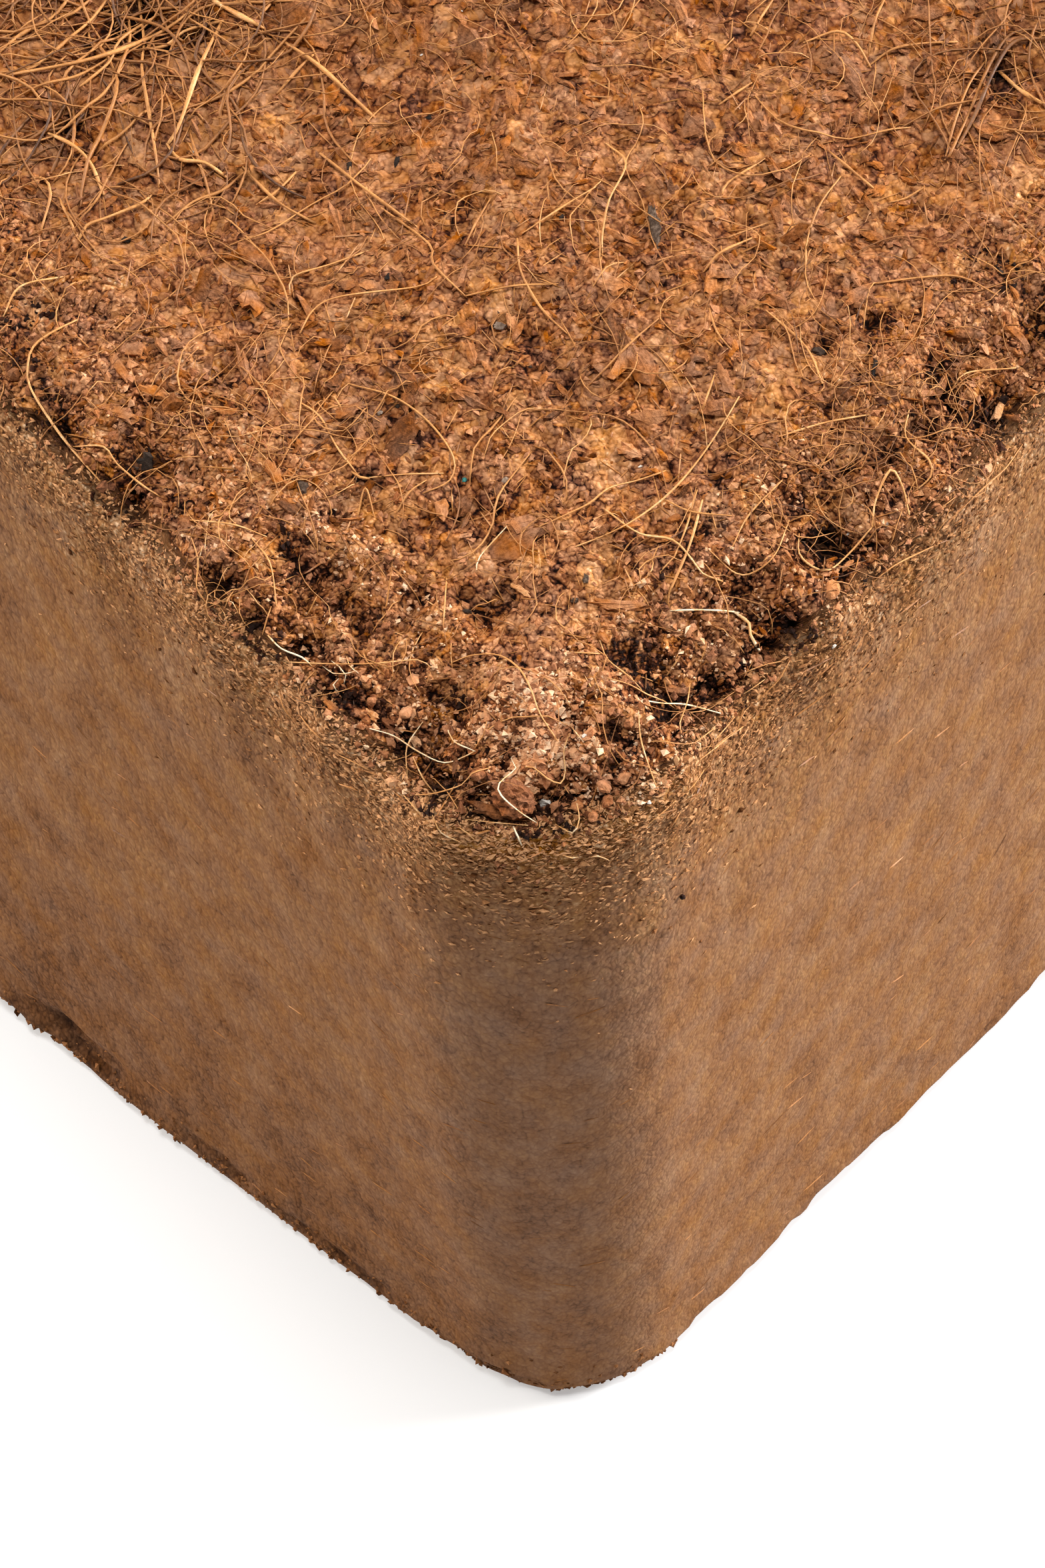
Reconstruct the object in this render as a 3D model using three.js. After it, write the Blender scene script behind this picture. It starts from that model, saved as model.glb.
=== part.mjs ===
// A square bale of pressed coconut coir pith, in millimetres, +Z up.
// It is one pressed block: a shaggy, lumpy top, smooth sides that bow where the press let go,
// rounded upright corners, and rims where the pith has crumbled away.
// The origin is the middle of the footprint, on the surface that the bale rests on.
import * as THREE from 'three';

// Driving dimensions
const WIDTH = 300;                // across the flats, both ways
const RIM_HEIGHT = 130;           // from the floor to the top rim
const CORNER_RADIUS = 15;         // upright corners
const TOP_EDGE_RADIUS = 4.5;      // worn rim round the top
const BASE_EDGE_RADIUS = 2.5;     // rim round the base
const CROWN = 3;                  // how far the middle of the top stands above its rim
const BASE_HOLLOW = 0.6;          // ragged base rim, how far it lifts off the floor

// Bow of each face half-way along it: outwards at its base and at its top rim
const BOWS = {
  front: { base: 7.8, top: -4.5 },
  right: { base: 1.4, top: -0.9 },
  back: { base: 7.8, top: -3.2 },
  left: { base: 1.4, top: -1.6 },
};

// Uneven surface
const LUMP_HEIGHT = 0.9;          // broad swells of the top
const LUMP_LENGTH = 34;
const GRAIN_HEIGHT = 0.55;        // small lumps of the top, one facet each
const SIDE_LUMP_HEIGHT = 0.35;    // the sides are pressed smoother
const RIM_CRUMBLE = 1.3;          // small lumps of the worn rims
const CHIP_REACH = 9;             // how far a chip's hollow runs in over the top

// Places where the pith has broken out of a rim: where along the outline, how wide,
// how far it goes in and how far down. The outline runs from the near corner (+X, -Y):
// positive along the right face, negative along the front face.
const NEAR_CHIPS = [
  { at: 0, width: 19, inward: 2.2, down: 2.6 },
  { at: -13, width: 11, inward: 1.6, down: 2.4 },
  { at: -25, width: 9, inward: 1.2, down: 1.6 },
  { at: -42, width: 7, inward: 0.8, down: 1.0 },
  { at: 22, width: 12, inward: 1.8, down: 3.0 },
  { at: 36, width: 9, inward: 1.0, down: 1.6 },
  { at: 54, width: 12, inward: 1.4, down: 1.8 },
];
const FAR_CHIP_COUNT = 30;
const NEAR_CHIP_REACH = 70;       // the stretch of rim that has its own list

// Mesh resolution
const GRID = 44;                  // cells across the top
const ARC_STEPS = 3;              // cells in each half of an upright corner
const EDGE_STEPS = 3;             // bands round the top edge
const SIDE_BANDS = 7;
const SIDE_TOP_GAP = 7;           // from the worn rim down to the first even ring
const BASE_PLATE = [[0.6, -0.6], [0.6, 0.6], [-0.6, 0.6], [-0.6, -0.35]];
const GOLDEN_ANGLE = Math.PI * (3 - Math.sqrt(5));

const HALF = WIDTH / 2;
const STRAIGHT = HALF - CORNER_RADIUS;
const ARC_LENGTH = CORNER_RADIUS * Math.PI / 2;
const FACE_LENGTH = 2 * STRAIGHT;
const PERIMETER = 4 * (FACE_LENGTH + ARC_LENGTH);

// A repeatable number from 0 to 1 for a whole number
function speckle(index) {
  const value = Math.sin(index * 12.9898 + 4.1) * 43758.5453;
  return value - Math.floor(value);
}

// Broad smooth swells from -1 to 1, made of five crossing waves
function swell(x, y, length) {
  let sum = 0;
  for (let k = 0; k < 5; k += 1) {
    const turn = k * GOLDEN_ANGLE;
    const across = x * Math.cos(turn) + y * Math.sin(turn);
    sum += Math.sin((2 * Math.PI * across) / (length * (1 + 0.23 * k)) + 1.7 * k * k);
  }
  return sum / 3;
}

// The outline of the bale seen from above, by arc length from the middle of the near corner.
// It goes up the right face, along the back, down the left face and along the front.
function outlineAt(arcLength) {
  const around = ((arcLength % PERIMETER) + PERIMETER) % PERIMETER;
  const start = around + ARC_LENGTH / 2;
  const side = Math.floor(start / (FACE_LENGTH + ARC_LENGTH)) % 4;
  const along = start % (FACE_LENGTH + ARC_LENGTH);
  const turn = side * Math.PI / 2;
  const onArc = Math.min(along, ARC_LENGTH);
  const angle = -Math.PI / 2 + onArc / CORNER_RADIUS;
  const onFace = Math.max(along - ARC_LENGTH, 0);
  const x = STRAIGHT + CORNER_RADIUS * Math.cos(angle);
  const y = -STRAIGHT + CORNER_RADIUS * Math.sin(angle) + onFace;
  return {
    point: new THREE.Vector2(x, y).rotateAround(new THREE.Vector2(), turn),
    normal: new THREE.Vector2(Math.cos(angle), Math.sin(angle)).rotateAround(new THREE.Vector2(), turn),
  };
}

// A face bows as a parabola between its two corners, more or less at each height
function bowAt(along, bow, height) {
  const share = Math.min(Math.max((along + STRAIGHT) / FACE_LENGTH, 0), 1);
  const middle = bow.base + (bow.top - bow.base) * Math.min(height / RIM_HEIGHT, 1);
  return 4 * middle * share * (1 - share);
}

// Where a point goes when the faces bow: all the way at the faces, less towards the middle
function bowed(x, y, z) {
  const faceX = x > 0 ? BOWS.right : BOWS.left;
  const faceY = y > 0 ? BOWS.back : BOWS.front;
  return new THREE.Vector3(
    x + bowAt(y, faceX, z) * (x / HALF),
    y + bowAt(x, faceY, z) * (y / HALF),
    z,
  );
}

// The chips out of the top rim away from the near corner, spread evenly with some play
function farChips() {
  const chips = [];
  const stretch = PERIMETER - 2 * NEAR_CHIP_REACH;
  for (let k = 0; k < FAR_CHIP_COUNT; k += 1) {
    chips.push({
      at: NEAR_CHIP_REACH + stretch * (k + 0.2 + 0.6 * speckle(k)) / FAR_CHIP_COUNT,
      width: 8 + 14 * speckle(k + 100),
      inward: 0.6 + 2.2 * speckle(k + 200) ** 2,
      down: 0.8 + 3.2 * speckle(k + 300) ** 2,
    });
  }
  return chips;
}

const CHIPS = [...NEAR_CHIPS, ...farChips()];

// How much of the rim is missing at a point of the outline, inwards and downwards
function chipAt(arcLength) {
  const missing = { inward: 0, down: 0 };
  for (const chip of CHIPS) {
    let apart = Math.abs(arcLength - chip.at) % PERIMETER;
    apart = Math.min(apart, PERIMETER - apart);
    if (apart < chip.width) {
      const share = 0.5 + 0.5 * Math.cos(Math.PI * apart / chip.width);
      missing.inward = Math.max(missing.inward, chip.inward * share);
      missing.down = Math.max(missing.down, chip.down * share);
    }
  }
  return missing;
}

// The nearest place on the outline for a point of the top, and how far in the point is
function nearestOutline(x, y) {
  const beyondX = Math.abs(x) - STRAIGHT;
  const beyondY = Math.abs(y) - STRAIGHT;
  const cornerSpan = FACE_LENGTH + ARC_LENGTH;
  if (beyondX > 0 && beyondY > 0) {
    const angle = Math.atan2(Math.sign(y) * beyondY, Math.sign(x) * beyondX);
    const fromNear = (angle + Math.PI / 4 + 2 * Math.PI) % (2 * Math.PI);
    const corner = Math.round(fromNear / (Math.PI / 2));
    const turned = fromNear - corner * Math.PI / 2;
    return {
      arcLength: corner * cornerSpan + turned * CORNER_RADIUS,
      inset: CORNER_RADIUS - Math.hypot(beyondX, beyondY),
    };
  }
  const faces = [
    { out: x, along: y }, { out: y, along: -x }, { out: -x, along: -y }, { out: -y, along: x },
  ];
  const face = faces.reduce((best, item, k) => (item.out > faces[best].out ? k : best), 0);
  return {
    arcLength: face * cornerSpan + ARC_LENGTH / 2 + faces[face].along + STRAIGHT,
    inset: HALF - faces[face].out,
  };
}

// The height of the top at a plan position, with what is missing near its rim
function topHeight(x, y) {
  const { arcLength, inset } = nearestOutline(x, y);
  const fromMiddle = 1 - Math.min(inset / HALF, 1);
  const crown = CROWN * (1 - fromMiddle ** 3);
  const lumps = LUMP_HEIGHT * swell(x, y, LUMP_LENGTH) * Math.min(inset / (2 * TOP_EDGE_RADIUS), 1);
  const near = Math.min(Math.max(1 - (inset - TOP_EDGE_RADIUS) / CHIP_REACH, 0), 1);
  const hollow = chipAt(arcLength).down * near * near * (3 - 2 * near);
  return RIM_HEIGHT + crown + lumps - hollow;
}

// One point of a ring below the top: how far in from the outline, how far down or how high,
// and its share of each kind of unevenness
function ringPoint(arcLength, ring, index) {
  const { point, normal } = outlineAt(arcLength);
  const jitter = (speckle(index) - 0.5) * ring.rough;
  const inset = ring.inset + chipAt(arcLength).inward * ring.chipped + jitter;
  const spot = point.clone().addScaledVector(normal, -inset);
  if (ring.height !== undefined) {
    return bowed(spot.x, spot.y, ring.height);
  }
  const grain = (speckle(index + 5000) - 0.5) * RIM_CRUMBLE;
  return bowed(spot.x, spot.y, topHeight(spot.x, spot.y) - ring.drop + grain);
}

// The rings from the edge of the top's flat to the base
function listRings() {
  const rings = [];
  for (let k = 0; k <= EDGE_STEPS; k += 1) {
    const angle = (Math.PI / 2) * k / EDGE_STEPS;
    rings.push({
      inset: TOP_EDGE_RADIUS * (1 - Math.sin(angle)),
      drop: TOP_EDGE_RADIUS * (1 - Math.cos(angle)),
      chipped: 1 - 0.3 * k / EDGE_STEPS,
      rough: k > 0 ? RIM_CRUMBLE : 0,
    });
  }
  const sideTop = RIM_HEIGHT - TOP_EDGE_RADIUS - SIDE_TOP_GAP;
  for (let k = 0; k < SIDE_BANDS; k += 1) {
    const height = BASE_EDGE_RADIUS + (sideTop - BASE_EDGE_RADIUS) * (1 - k / (SIDE_BANDS - 1));
    rings.push({ inset: 0, height, chipped: k === 0 ? 0.35 : 0, rough: SIDE_LUMP_HEIGHT });
  }
  rings.push({ inset: BASE_EDGE_RADIUS * 0.35, height: BASE_HOLLOW, chipped: 0, rough: RIM_CRUMBLE });
  rings.push({ inset: BASE_EDGE_RADIUS, height: 0, chipped: 0, rough: 0 });
  return rings;
}

// Where the outline is cut into cells: even steps on the faces, finer ones round the corners.
// Each side of the top grid runs from the middle of one corner to the middle of the next.
function outlineSteps() {
  const steps = [];
  const faceSteps = GRID - 2 * ARC_STEPS;
  for (let side = 0; side < 4; side += 1) {
    const start = side * (FACE_LENGTH + ARC_LENGTH);
    for (let k = 0; k < GRID; k += 1) {
      const arcShare = (ARC_LENGTH / 2) / ARC_STEPS;
      const before = Math.min(k, ARC_STEPS) * arcShare;
      const onFace = Math.min(Math.max(k - ARC_STEPS, 0), faceSteps) * (FACE_LENGTH / faceSteps);
      const after = Math.max(k - ARC_STEPS - faceSteps, 0) * arcShare;
      steps.push(start + before + onFace + after);
    }
  }
  return steps;
}

// Number of the outline cell that a border point of the top grid belongs to, counted
// from the near corner (+X, -Y)
function borderIndex(column, row) {
  if (column === GRID && row < GRID) return row;
  if (row === GRID && column > 0) return GRID + (GRID - column);
  if (column === 0 && row > 0) return 2 * GRID + (GRID - row);
  return 3 * GRID + column;
}

// A point inside the top, from the four border points in line with it
function blendBorder(border, column, row) {
  const at = (c, r) => border[borderIndex(c, r)];
  const u = column / GRID;
  const v = row / GRID;
  const lerp = (a, b, share) => a.clone().lerp(b, share);
  const alongRows = lerp(at(0, row), at(GRID, row), u);
  const alongColumns = lerp(at(column, 0), at(column, GRID), v);
  const corners = lerp(lerp(at(0, 0), at(GRID, 0), u), lerp(at(0, GRID), at(GRID, GRID), u), v);
  return alongRows.add(alongColumns).sub(corners);
}

// The whole bale as one closed body
function buildBale() {
  const positions = [];
  const triangles = [];
  const steps = outlineSteps();
  const around = steps.length;
  const addPoint = (p) => positions.push(p.x, p.y, p.z) / 3 - 1;
  const addQuad = (a, b, c, d) => triangles.push(a, b, c, a, c, d);

  const rings = listRings().map((ring, ringIndex) => steps.map((arcLength, k) => (
    addPoint(ringPoint(arcLength, ring, ringIndex * around + k))
  )));

  // The inside of the top is a grid, blended between the four sides of the first ring
  const border = steps.map((arcLength) => {
    const { point, normal } = outlineAt(arcLength);
    return point.clone().addScaledVector(normal, -TOP_EDGE_RADIUS);
  });
  const grid = [];
  for (let row = 0; row <= GRID; row += 1) {
    grid.push([]);
    for (let column = 0; column <= GRID; column += 1) {
      const onBorder = row === 0 || row === GRID || column === 0 || column === GRID;
      if (onBorder) {
        grid[row].push(rings[0][borderIndex(column, row)]);
      } else {
        const spot = blendBorder(border, column, row);
        const grain = (speckle(9000 + row * (GRID + 1) + column) - 0.5) * 2 * GRAIN_HEIGHT;
        grid[row].push(addPoint(bowed(spot.x, spot.y, topHeight(spot.x, spot.y) + grain)));
      }
    }
  }
  for (let row = 0; row < GRID; row += 1) {
    for (let column = 0; column < GRID; column += 1) {
      const corners = [
        grid[row][column], grid[row][column + 1], grid[row + 1][column + 1], grid[row + 1][column],
      ];
      const turned = (row < GRID / 2) !== (column < GRID / 2);
      addQuad(...(turned ? [corners[1], corners[2], corners[3], corners[0]] : corners));
    }
  }

  for (let r = 0; r + 1 < rings.length; r += 1) {
    for (let k = 0; k < around; k += 1) {
      const next = (k + 1) % around;
      addQuad(rings[r][k], rings[r + 1][k], rings[r + 1][next], rings[r][next]);
    }
  }

  // The base is flat: a plate in the middle, and fans out to the last ring. One corner of the
  // plate is drawn in, so that the middle of the base lies inside one facet.
  const plate = BASE_PLATE.map(([x, y]) => addPoint(new THREE.Vector3(x * HALF, y * HALF, 0)));
  const baseRing = rings[rings.length - 1];
  for (let side = 0; side < 4; side += 1) {
    const corner = plate[side];
    const nextCorner = plate[(side + 1) % 4];
    const middle = side * GRID + GRID / 2;
    for (let k = middle - GRID; k < middle; k += 1) {
      triangles.push(corner, baseRing[(k + around + 1) % around], baseRing[(k + around) % around]);
    }
    triangles.push(corner, nextCorner, baseRing[middle]);
  }
  triangles.push(plate[0], plate[3], plate[1], plate[1], plate[3], plate[2]);

  const geometry = new THREE.BufferGeometry();
  geometry.setAttribute('position', new THREE.Float32BufferAttribute(positions, 3));
  geometry.setIndex(triangles);
  geometry.computeVertexNormals();
  return geometry;
}

// Dry coir pith: matt orange-brown all through
const pressedCoir = new THREE.MeshStandardMaterial({ color: '#a06a44', roughness: 0.95, metalness: 0 });

const bale = new THREE.Mesh(buildBale(), pressedCoir);
bale.name = 'bale';

const model = new THREE.Group();
model.add(bale);

export default model;
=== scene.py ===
# %% [markdown]
# # A pressed coconut coir bale, seen close to one corner
# The real thing is one block: soaked, dried and pressed husk dust (pith), husk chips and
# coir fibres. Its top is torn and shaggy, its sides were pressed smooth against the mould,
# and its rims crumble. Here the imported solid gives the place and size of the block. Over it
# go a finely modelled skin, then grains, husk chips and fibres, each kind as joined meshes.

# %% Load the frame
import math
import bmesh
import bpy
import numpy as np
from mathutils import Matrix, Vector
from mathutils.bvhtree import BVHTree


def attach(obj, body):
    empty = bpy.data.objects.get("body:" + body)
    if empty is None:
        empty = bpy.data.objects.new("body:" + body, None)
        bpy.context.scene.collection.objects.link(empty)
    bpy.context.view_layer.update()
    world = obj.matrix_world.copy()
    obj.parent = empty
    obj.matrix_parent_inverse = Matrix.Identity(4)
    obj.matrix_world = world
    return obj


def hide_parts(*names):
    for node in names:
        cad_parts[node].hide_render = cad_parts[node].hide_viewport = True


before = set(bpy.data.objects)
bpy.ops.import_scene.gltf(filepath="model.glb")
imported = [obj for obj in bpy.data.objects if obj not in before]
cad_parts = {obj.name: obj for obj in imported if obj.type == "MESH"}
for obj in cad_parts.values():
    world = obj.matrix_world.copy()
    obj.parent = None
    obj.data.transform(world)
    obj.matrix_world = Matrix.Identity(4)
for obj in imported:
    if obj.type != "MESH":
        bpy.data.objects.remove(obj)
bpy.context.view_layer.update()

# %% [markdown]
# ## Sizes
# All the shapes below are worked out in millimetres and turned to metres once, when a mesh
# is made. The block's own sizes are the same named values as in the solid: its width, its
# rim, its corners, how far each face bows, and the places where the rim has broken.

# %% Sizes of the block
MM = 0.001
WIDTH = 300.0
RIM_HEIGHT = 130.0
CORNER_RADIUS = 15.0
TOP_EDGE_RADIUS = 4.5
BASE_EDGE_RADIUS = 2.5
CROWN = 3.0
BOWS = {
    "front": (7.8, -4.5),
    "right": (1.4, -0.9),
    "back": (7.8, -3.2),
    "left": (1.4, -1.6),
}
LUMP_HEIGHT = 0.9
LUMP_LENGTH = 34.0
CHIP_REACH = 9.0
NEAR_CHIPS = [
    (0, 19, 2.2, 2.6), (-13, 11, 1.6, 2.4), (-25, 9, 1.2, 1.6), (-42, 7, 0.8, 1.0),
    (22, 12, 1.8, 3.0), (36, 9, 1.0, 1.6), (54, 12, 1.4, 1.8),
]
FAR_CHIP_COUNT = 30
NEAR_CHIP_REACH = 70.0

HALF = WIDTH / 2
STRAIGHT = HALF - CORNER_RADIUS
ARC_LENGTH = CORNER_RADIUS * math.pi / 2
FACE_LENGTH = 2 * STRAIGHT
CORNER_SPAN = FACE_LENGTH + ARC_LENGTH
PERIMETER = 4 * CORNER_SPAN
GOLDEN_ANGLE = math.pi * (3 - math.sqrt(5))
print("outline length, mm:", round(PERIMETER, 1))

# %% [markdown]
# ## The block's form as functions
# A form that is a function can be asked for its place anywhere, so the skin can be as fine
# as it needs to be near the lens and coarse behind. Numpy works out all points at once. These
# first ones give uneven numbers, broad swells, and the bow of the four faces.


# %% Swells and bows
def from_near_corner(x, y):
    return np.hypot(x - HALF, y + HALF)


def speckle(index):
    value = np.sin(index * 12.9898 + 4.1) * 43758.5453
    return value - np.floor(value)


def swell(x, y, length):
    total = 0
    for k in range(5):
        turn = k * GOLDEN_ANGLE
        across = x * math.cos(turn) + y * math.sin(turn)
        total = total + np.sin(2 * math.pi * across / (length * (1 + 0.23 * k)) + 1.7 * k * k)
    return total / 3


def bow_at(along, bow, height):
    share = np.clip((along + STRAIGHT) / FACE_LENGTH, 0, 1)
    base = np.where(bow[2], BOWS[bow[0]][0], BOWS[bow[1]][0])
    top = np.where(bow[2], BOWS[bow[0]][1], BOWS[bow[1]][1])
    middle = base + (top - base) * np.clip(height / RIM_HEIGHT, 0, 1)
    return 4 * middle * share * (1 - share)


def bowed(x, y, z):
    out_x = bow_at(y, ("right", "left", x > 0), z) * x / HALF
    out_y = bow_at(x, ("back", "front", y > 0), z) * y / HALF
    return np.stack([x + out_x, y + out_y, z], axis=-1)


# %% [markdown]
# ## Chips, outline and top
# The arc is how far round the outline a point lies, counted from the near corner. Chips in
# the rim are listed by arc, width, and how far they go in and down: seven near the corner as
# the photo shows them, and thirty round the rest. The outline turns an arc into a point, and
# `nearest_outline` finds the arc of a point on the top, so that the top sinks at a chip.

# %% The outline and the top as functions
def list_chips():
    k = np.arange(FAR_CHIP_COUNT)
    stretch = PERIMETER - 2 * NEAR_CHIP_REACH
    at = NEAR_CHIP_REACH + stretch * (k + 0.2 + 0.6 * speckle(k)) / FAR_CHIP_COUNT
    width = 8 + 14 * speckle(k + 100)
    inward = 0.6 + 2.2 * speckle(k + 200) ** 2
    down = 0.8 + 3.2 * speckle(k + 300) ** 2
    return NEAR_CHIPS + list(zip(at, width, inward, down))


RIM_CHIPS = list_chips()


def chip_at(arc):
    inward = np.zeros_like(arc)
    down = np.zeros_like(arc)
    for at, width, chip_inward, chip_down in RIM_CHIPS:
        apart = np.abs(arc - at) % PERIMETER
        apart = np.minimum(apart, PERIMETER - apart)
        share = np.where(apart < width, 0.5 + 0.5 * np.cos(np.pi * apart / width), 0)
        inward = np.maximum(inward, chip_inward * share)
        down = np.maximum(down, chip_down * share)
    return inward, down


def outline_at(arc):
    start = np.mod(arc, PERIMETER) + ARC_LENGTH / 2
    side = np.floor(start / CORNER_SPAN) % 4
    along = np.mod(start, CORNER_SPAN)
    angle = -math.pi / 2 + np.minimum(along, ARC_LENGTH) / CORNER_RADIUS
    on_face = np.maximum(along - ARC_LENGTH, 0)
    x = STRAIGHT + CORNER_RADIUS * np.cos(angle)
    y = -STRAIGHT + CORNER_RADIUS * np.sin(angle) + on_face
    turn = side * math.pi / 2
    cos, sin = np.cos(turn), np.sin(turn)
    point = np.stack([x * cos - y * sin, x * sin + y * cos], axis=-1)
    normal = np.stack([np.cos(angle + turn), np.sin(angle + turn)], axis=-1)
    return point, normal


def nearest_outline(x, y):
    beyond_x = np.abs(x) - STRAIGHT
    beyond_y = np.abs(y) - STRAIGHT
    in_corner = (beyond_x > 0) & (beyond_y > 0)
    angle = np.arctan2(np.sign(y) * beyond_y, np.sign(x) * beyond_x)
    from_near = np.mod(angle + math.pi / 4 + 2 * math.pi, 2 * math.pi)
    corner = np.round(from_near / (math.pi / 2))
    corner_arc = corner * CORNER_SPAN + (from_near - corner * math.pi / 2) * CORNER_RADIUS
    outs = np.stack([x, y, -x, -y])
    alongs = np.stack([y, -x, -y, x])
    face = np.argmax(outs, axis=0)
    out = np.take_along_axis(outs, face[None], 0)[0]
    along = np.take_along_axis(alongs, face[None], 0)[0]
    face_arc = face * CORNER_SPAN + ARC_LENGTH / 2 + along + STRAIGHT
    arc = np.where(in_corner, corner_arc, face_arc)
    inset = np.where(in_corner, CORNER_RADIUS - np.hypot(beyond_x, beyond_y), HALF - out)
    return arc, inset


def top_height(x, y):
    arc, inset = nearest_outline(x, y)
    from_middle = 1 - np.clip(inset / HALF, 0, 1)
    crown = CROWN * (1 - from_middle**3)
    lumps = LUMP_HEIGHT * swell(x, y, LUMP_LENGTH) * np.clip(inset / (2 * TOP_EDGE_RADIUS), 0, 1)
    near = np.clip(1 - (inset - TOP_EDGE_RADIUS) / CHIP_REACH, 0, 1)
    hollow_and_shade = chip_at(arc)[1] * near * near * (3 - 2 * near)
    return RIM_HEIGHT + crown + lumps - hollow_and_shade


corner_height = top_height(np.array([STRAIGHT]), np.array([-STRAIGHT]))[0]
print("height of the top at the near corner, mm:", round(corner_height, 2))

# %% [markdown]
# ## The camera
# The photo was taken with a long lens, about 0.35 m from the corner and looking down by 65
# degrees. The angles, the distance and the focal length were fitted to the outlines of the
# top rim and the base. The camera comes early, because gaps, chips, clods and fibres that
# the photo shows one by one are noted by their pixels and placed through it.

# %% Camera
CAMERA_AZIMUTH = math.radians(-47.2)
CAMERA_TILT = math.radians(65.2)
CAMERA_ROLL = math.radians(-3.6)
CAMERA_DISTANCE = 350.0
CAMERA_SHIFT = (0.9, -10.1)
FOCAL_PIXELS = 7263.0
PHOTO_WIDTH = 1568
PHOTO_HEIGHT = 2352
SENSOR = 36.0

forward = Vector((
    math.sin(CAMERA_AZIMUTH) * math.cos(CAMERA_TILT),
    math.cos(CAMERA_AZIMUTH) * math.cos(CAMERA_TILT),
    -math.sin(CAMERA_TILT),
))
level_right = Vector((math.cos(CAMERA_AZIMUTH), -math.sin(CAMERA_AZIMUTH), 0))
upright = level_right.cross(forward)
right = math.cos(CAMERA_ROLL) * level_right + math.sin(CAMERA_ROLL) * upright
up = -math.sin(CAMERA_ROLL) * level_right + math.cos(CAMERA_ROLL) * upright
corner_top = Vector((HALF, -HALF, RIM_HEIGHT))
eye = corner_top - forward * CAMERA_DISTANCE - right * CAMERA_SHIFT[0] - up * CAMERA_SHIFT[1]
camera_data = bpy.data.cameras.new("lens")
camera_data.sensor_width = SENSOR
camera_data.lens = FOCAL_PIXELS / PHOTO_HEIGHT * SENSOR
camera_data.clip_start = 0.01
camera = bpy.data.objects.new("camera", camera_data)
camera.matrix_world = Matrix((
    (right.x, up.x, -forward.x, eye.x * MM),
    (right.y, up.y, -forward.y, eye.y * MM),
    (right.z, up.z, -forward.z, eye.z * MM),
    (0, 0, 0, 1),
))
bpy.context.scene.collection.objects.link(camera)
bpy.context.scene.camera = camera
print("camera at, mm:", [round(value, 1) for value in eye])


def photo_ray(pixel):
    side = (pixel[0] - PHOTO_WIDTH / 2) / FOCAL_PIXELS
    rise = (PHOTO_HEIGHT / 2 - pixel[1]) / FOCAL_PIXELS
    return (forward + right * side + up * rise).normalized()


def at_rim_height(pixel):
    ray = photo_ray(pixel)
    return np.array(eye + ray * ((RIM_HEIGHT - eye.z) / ray.z))


# %% [markdown]
# ## Grain, as numbers
# Pressed pith looks like tiny packed crumbs. A jittered lattice gives each crumb a centre;
# a point of the skin takes the highest of the crumbs around it. The same lattice numbers
# give each crumb its own tone, so colour and shape belong together. Each call names the size
# of its waves or crumbs in millimetres, and a salt: a whole number of its own, so that no two
# patterns are alike.


# %% Noise helpers
CELL_PRIMES = (73856093, 19349663, 83492791)
SALT_PRIME = 2654435761
STIRS = ((15, 1274126177), (13, 2246822519))
LOW_BITS, FEW_BITS = 0xFFFFFFFF, 0xFFFF


def lattice_number(cell, salt):
    spread = cell * CELL_PRIMES
    mixed = (spread[..., 0] ^ spread[..., 1] ^ spread[..., 2] ^ (salt * SALT_PRIME)) & LOW_BITS
    for shift, prime in STIRS:
        mixed = ((mixed ^ (mixed >> shift)) * prime) & LOW_BITS
    return ((mixed ^ (mixed >> 16)) & FEW_BITS) / FEW_BITS


def soft_noise(points, length, salt):
    scaled = points / length
    cell = np.floor(scaled).astype(np.int64)
    part = scaled - cell
    part = part * part * (3 - 2 * part)
    total = 0
    for corner in np.ndindex(2, 2, 2):
        weight = np.prod(np.where(np.array(corner) == 1, part, 1 - part), axis=-1)
        total = total + weight * lattice_number(cell + np.array(corner), salt)
    return 2 * total - 1


def crumb_field(points, size, salt):
    scaled = points / size
    cell = np.floor(scaled).astype(np.int64)
    best = np.full(len(points), -np.inf)
    tone = np.zeros(len(points))
    for offset in np.ndindex(3, 3, 3):
        neighbour = cell + np.array(offset) - 1
        centre = np.stack([lattice_number(neighbour, salt + k) for k in range(3)], axis=-1)
        apart = np.linalg.norm(neighbour + centre - scaled, axis=-1)
        lift = 0.5 * lattice_number(neighbour, salt + 3) - apart
        higher = lift > best
        best = np.where(higher, lift, best)
        tone = np.where(higher, lattice_number(neighbour, salt + 4), tone)
    return best, tone
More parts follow.
